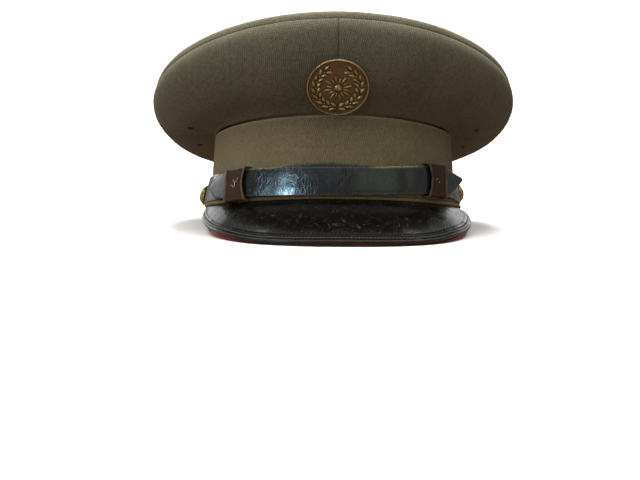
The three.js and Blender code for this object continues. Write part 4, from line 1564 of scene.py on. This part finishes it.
def make_floor():
    """A pale floor that curves up behind the cap."""
    tint = staging().floor_colour
    wide, front, near = 9.0, -9.0, -1.0
    behind, radius, wall_top = 1.6, 0.9, 3.2
    bend = np.linspace(0, math.pi / 2, 24)
    curve = [(behind + radius * math.sin(b), radius * (1 - math.cos(b))) for b in bend]
    profile = [(front, 0.0), (near, 0.0), *curve, (behind + radius, wall_top)]
    rows = len(profile)
    vertices = [(x, y, z) for x in (-wide, wide) for y, z in profile]
    faces = [(k, rows + k, rows + k + 1, k + 1) for k in range(rows - 1)]
    mesh = bpy.data.meshes.new("floor")
    mesh.from_pydata(vertices, [], faces)
    mesh.polygons.foreach_set("use_smooth", np.ones(len(faces), bool))
    f = Finish("pale_floor", Specular_IOR_Level=0.2)
    speck = f.noise(0.03, 3.0)
    base = f.mix(f.range(speck, 0.3, 0.7), tint, tuple(0.97 * share for share in tint))
    mesh.materials.append(f.finish(base, f.range(speck, 0.3, 0.7, 0.75, 0.85), speck, 0.1 * MM, 0.1))
    floor = bpy.data.objects.new("floor", mesh)
    bpy.context.collection.objects.link(floor)
    floor.visible_diffuse = False
    floor.visible_glossy = False
    floor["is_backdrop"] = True


def make_sky():
    """Light from all round, bright overhead and dim towards the ground."""
    stage = staging()
    stops = (
        (0.0, stage.ground_tint),
        (0.4, stage.ground_tint),
        (0.5, stage.horizon_tint),
        (0.7, stage.horizon_tint),
        (0.97, stage.sky_tint),
    )
    world = bpy.data.worlds.new("studio")
    world.use_nodes = True
    n = Nodes(world.node_tree)
    way = n.add("ShaderNodeTexCoord").outputs["Generated"]
    height = n.add("ShaderNodeSeparateXYZ", {"Vector": way}).outputs["Z"]
    share = n.add("ShaderNodeMapRange", {"Value": height, "From Min": -1}).outputs["Result"]
    shades = n.add("ShaderNodeValToRGB", {"Fac": share})
    shades.color_ramp.interpolation = "EASE"
    while len(shades.color_ramp.elements) < len(stops):
        shades.color_ramp.elements.new(1)
    for element, (place, tint) in zip(shades.color_ramp.elements, stops):
        element.position = place
        element.color = (*tint, 1)
    light = n.nodes["Background"]
    n.set(light.inputs["Color"], shades.outputs["Color"])
    n.set(light.inputs["Strength"], stage.sky)
    pale = n.add("ShaderNodeBackground", {"Color": stage.floor_colour})
    seen = n.add("ShaderNodeLightPath").outputs["Is Camera Ray"]
    both = n.add("ShaderNodeMixShader", {0: seen, 1: light.outputs[0], 2: pale.outputs[0]})
    n.set(n.nodes["World Output"].inputs["Surface"], both.outputs[0])
    bpy.context.scene.world = world


def make_stage():
    stage = staging()
    cool = stage.cool_tint
    make_camera()
    make_floor()
    for soft in (
        make_light("key", 36, 58, 1.6, (1.1, 0.8), stage.key_power),
        make_light("ceiling", 180, 80, 1.6, (0.9, 0.9), stage.ceiling_power),
        make_light("front", 12, 4, 1.8, (1.0, 0.7), stage.front_power),
        make_light("side_left", 95, 10, 1.4, (0.8, 0.8), stage.side_power),
    ):
        soft.visible_glossy = False
    for shine in (
        make_light("window", 42, 5.8, 1.57, (0.36, 0.2), stage.window_power, cool),
        make_light("panel", 15, 19.5, 2.1, (1.4, 0.34), stage.panel_power, cool),
        make_light("fill", -40, 14, 1.9, (1.4, 0.5), stage.fill_power, stage.fill_tint),
        make_light("left_wall", 127, 8, 1.6, (1.3, 0.6), stage.wall_power),
        make_light("left_back", 150, 15, 1.7, (1.0, 0.6), stage.back_power),
        make_light("right_back", -150, 15, 1.7, (1.0, 0.6), stage.back_power),
    ):
        shine.visible_diffuse = False
    make_light("backdrop", 0, 49, 2.1, (2.6, 0.8), stage.backdrop_power, aim=(0, 2.3, 0.6))
    make_sky()
    bpy.context.scene.view_settings.view_transform = "Standard"


# Operators

class CAP_OT_stage(Operator):
    """Sets the camera, the light and the floor"""

    bl_idname = "cap.stage"
    bl_label = "Stage"
    bl_options = {"REGISTER", "UNDO"}

    def execute(self, context):
        make_stage()
        return {"FINISHED"}


class CAP_OT_crown_top(Operator):
    """Makes the crown's top, rolled over its hoop"""

    bl_idname = "cap.crown_top"
    bl_label = "Crown Top"
    bl_options = {"REGISTER", "UNDO"}

    def execute(self, context):
        make_crown_top()
        return {"FINISHED"}


class CAP_OT_quarters(Operator):
    """Makes the crown's quarters, with their seams and air holes"""

    bl_idname = "cap.quarters"
    bl_label = "Crown Quarters"
    bl_options = {"REGISTER", "UNDO"}

    def execute(self, context):
        for quarter in QUARTERS:
            make_quarter(*quarter)
        return {"FINISHED"}


class CAP_OT_vents(Operator):
    """Makes the eyelets of the air holes"""

    bl_idname = "cap.vents"
    bl_label = "Vents"
    bl_options = {"REGISTER", "UNDO"}

    def execute(self, context):
        make_vents()
        return {"FINISHED"}


class CAP_OT_band(Operator):
    """Makes the band and the welt round its lower edge"""

    bl_idname = "cap.band"
    bl_label = "Band and Welt"
    bl_options = {"REGISTER", "UNDO"}

    def execute(self, context):
        make_band()
        make_welt()
        return {"FINISHED"}


class CAP_OT_visor(Operator):
    """Makes the visor: leather, lining, bead and stitching"""

    bl_idname = "cap.visor"
    bl_label = "Visor"
    bl_options = {"REGISTER", "UNDO"}

    def execute(self, context):
        make_visor()
        make_visor_lining()
        make_visor_bead()
        make_visor_stitches()
        return {"FINISHED"}


class CAP_OT_strap(Operator):
    """Makes both plies of the chin strap"""

    bl_idname = "cap.strap"
    bl_label = "Chin Strap"
    bl_options = {"REGISTER", "UNDO"}

    def execute(self, context):
        make_under_strap()
        make_front_strap()
        return {"FINISHED"}


class CAP_OT_slides(Operator):
    """Makes the slides on the strap and their staples"""

    bl_idname = "cap.slides"
    bl_label = "Slides and Staples"
    bl_options = {"REGISTER", "UNDO"}

    def execute(self, context):
        make_slides()
        make_staples()
        return {"FINISHED"}


class CAP_OT_buttons(Operator):
    """Makes the side buttons"""

    bl_idname = "cap.buttons"
    bl_label = "Side Buttons"
    bl_options = {"REGISTER", "UNDO"}

    def execute(self, context):
        make_buttons()
        return {"FINISHED"}


class CAP_OT_badge(Operator):
    """Makes the badge, with a plain wreath and rosette"""

    bl_idname = "cap.badge"
    bl_label = "Badge"
    bl_options = {"REGISTER", "UNDO"}

    def execute(self, context):
        make_badge()
        return {"FINISHED"}


OPERATORS = (
    CAP_OT_stage,
    CAP_OT_crown_top,
    CAP_OT_quarters,
    CAP_OT_vents,
    CAP_OT_band,
    CAP_OT_visor,
    CAP_OT_strap,
    CAP_OT_slides,
    CAP_OT_buttons,
    CAP_OT_badge,
)


class CAP_PT_sidebar(Panel):
    """Lists the cap's settings and the operators that make its pieces"""

    bl_idname = "CAP_PT_sidebar"
    bl_label = "Peaked Cap"
    bl_space_type = "VIEW_3D"
    bl_region_type = "UI"
    bl_category = "Peaked Cap"

    def draw(self, context):
        scene = context.scene
        for operator in OPERATORS:
            self.layout.operator(operator.bl_idname)
        for settings in (scene.cap_sizes, scene.cap_colours, scene.cap_stage):
            box = self.layout.box()
            for key in settings.__annotations__:
                box.prop(settings, key)


CLASSES = (CapSizes, CapColours, CapStage, *OPERATORS, CAP_PT_sidebar)


def register():
    for made in CLASSES:
        bpy.utils.register_class(made)
    bpy.types.Scene.cap_sizes = PointerProperty(type=CapSizes)
    bpy.types.Scene.cap_colours = PointerProperty(type=CapColours)
    bpy.types.Scene.cap_stage = PointerProperty(type=CapStage)


def unregister():
    del bpy.types.Scene.cap_stage
    del bpy.types.Scene.cap_colours
    del bpy.types.Scene.cap_sizes
    for made in reversed(CLASSES):
        bpy.utils.unregister_class(made)


def main():
    register()
    bpy.ops.cap.stage()
    bpy.ops.cap.crown_top()
    bpy.ops.cap.quarters()
    bpy.ops.cap.vents()
    bpy.ops.cap.band()
    bpy.ops.cap.visor()
    bpy.ops.cap.strap()
    bpy.ops.cap.slides()
    bpy.ops.cap.buttons()
    bpy.ops.cap.badge()
    boxes = {"cad": CAD_BOX, "visual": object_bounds()}
    {name: [list(corner) for corner in box] for name, box in boxes.items()}


if __name__ == "__main__":
    main()
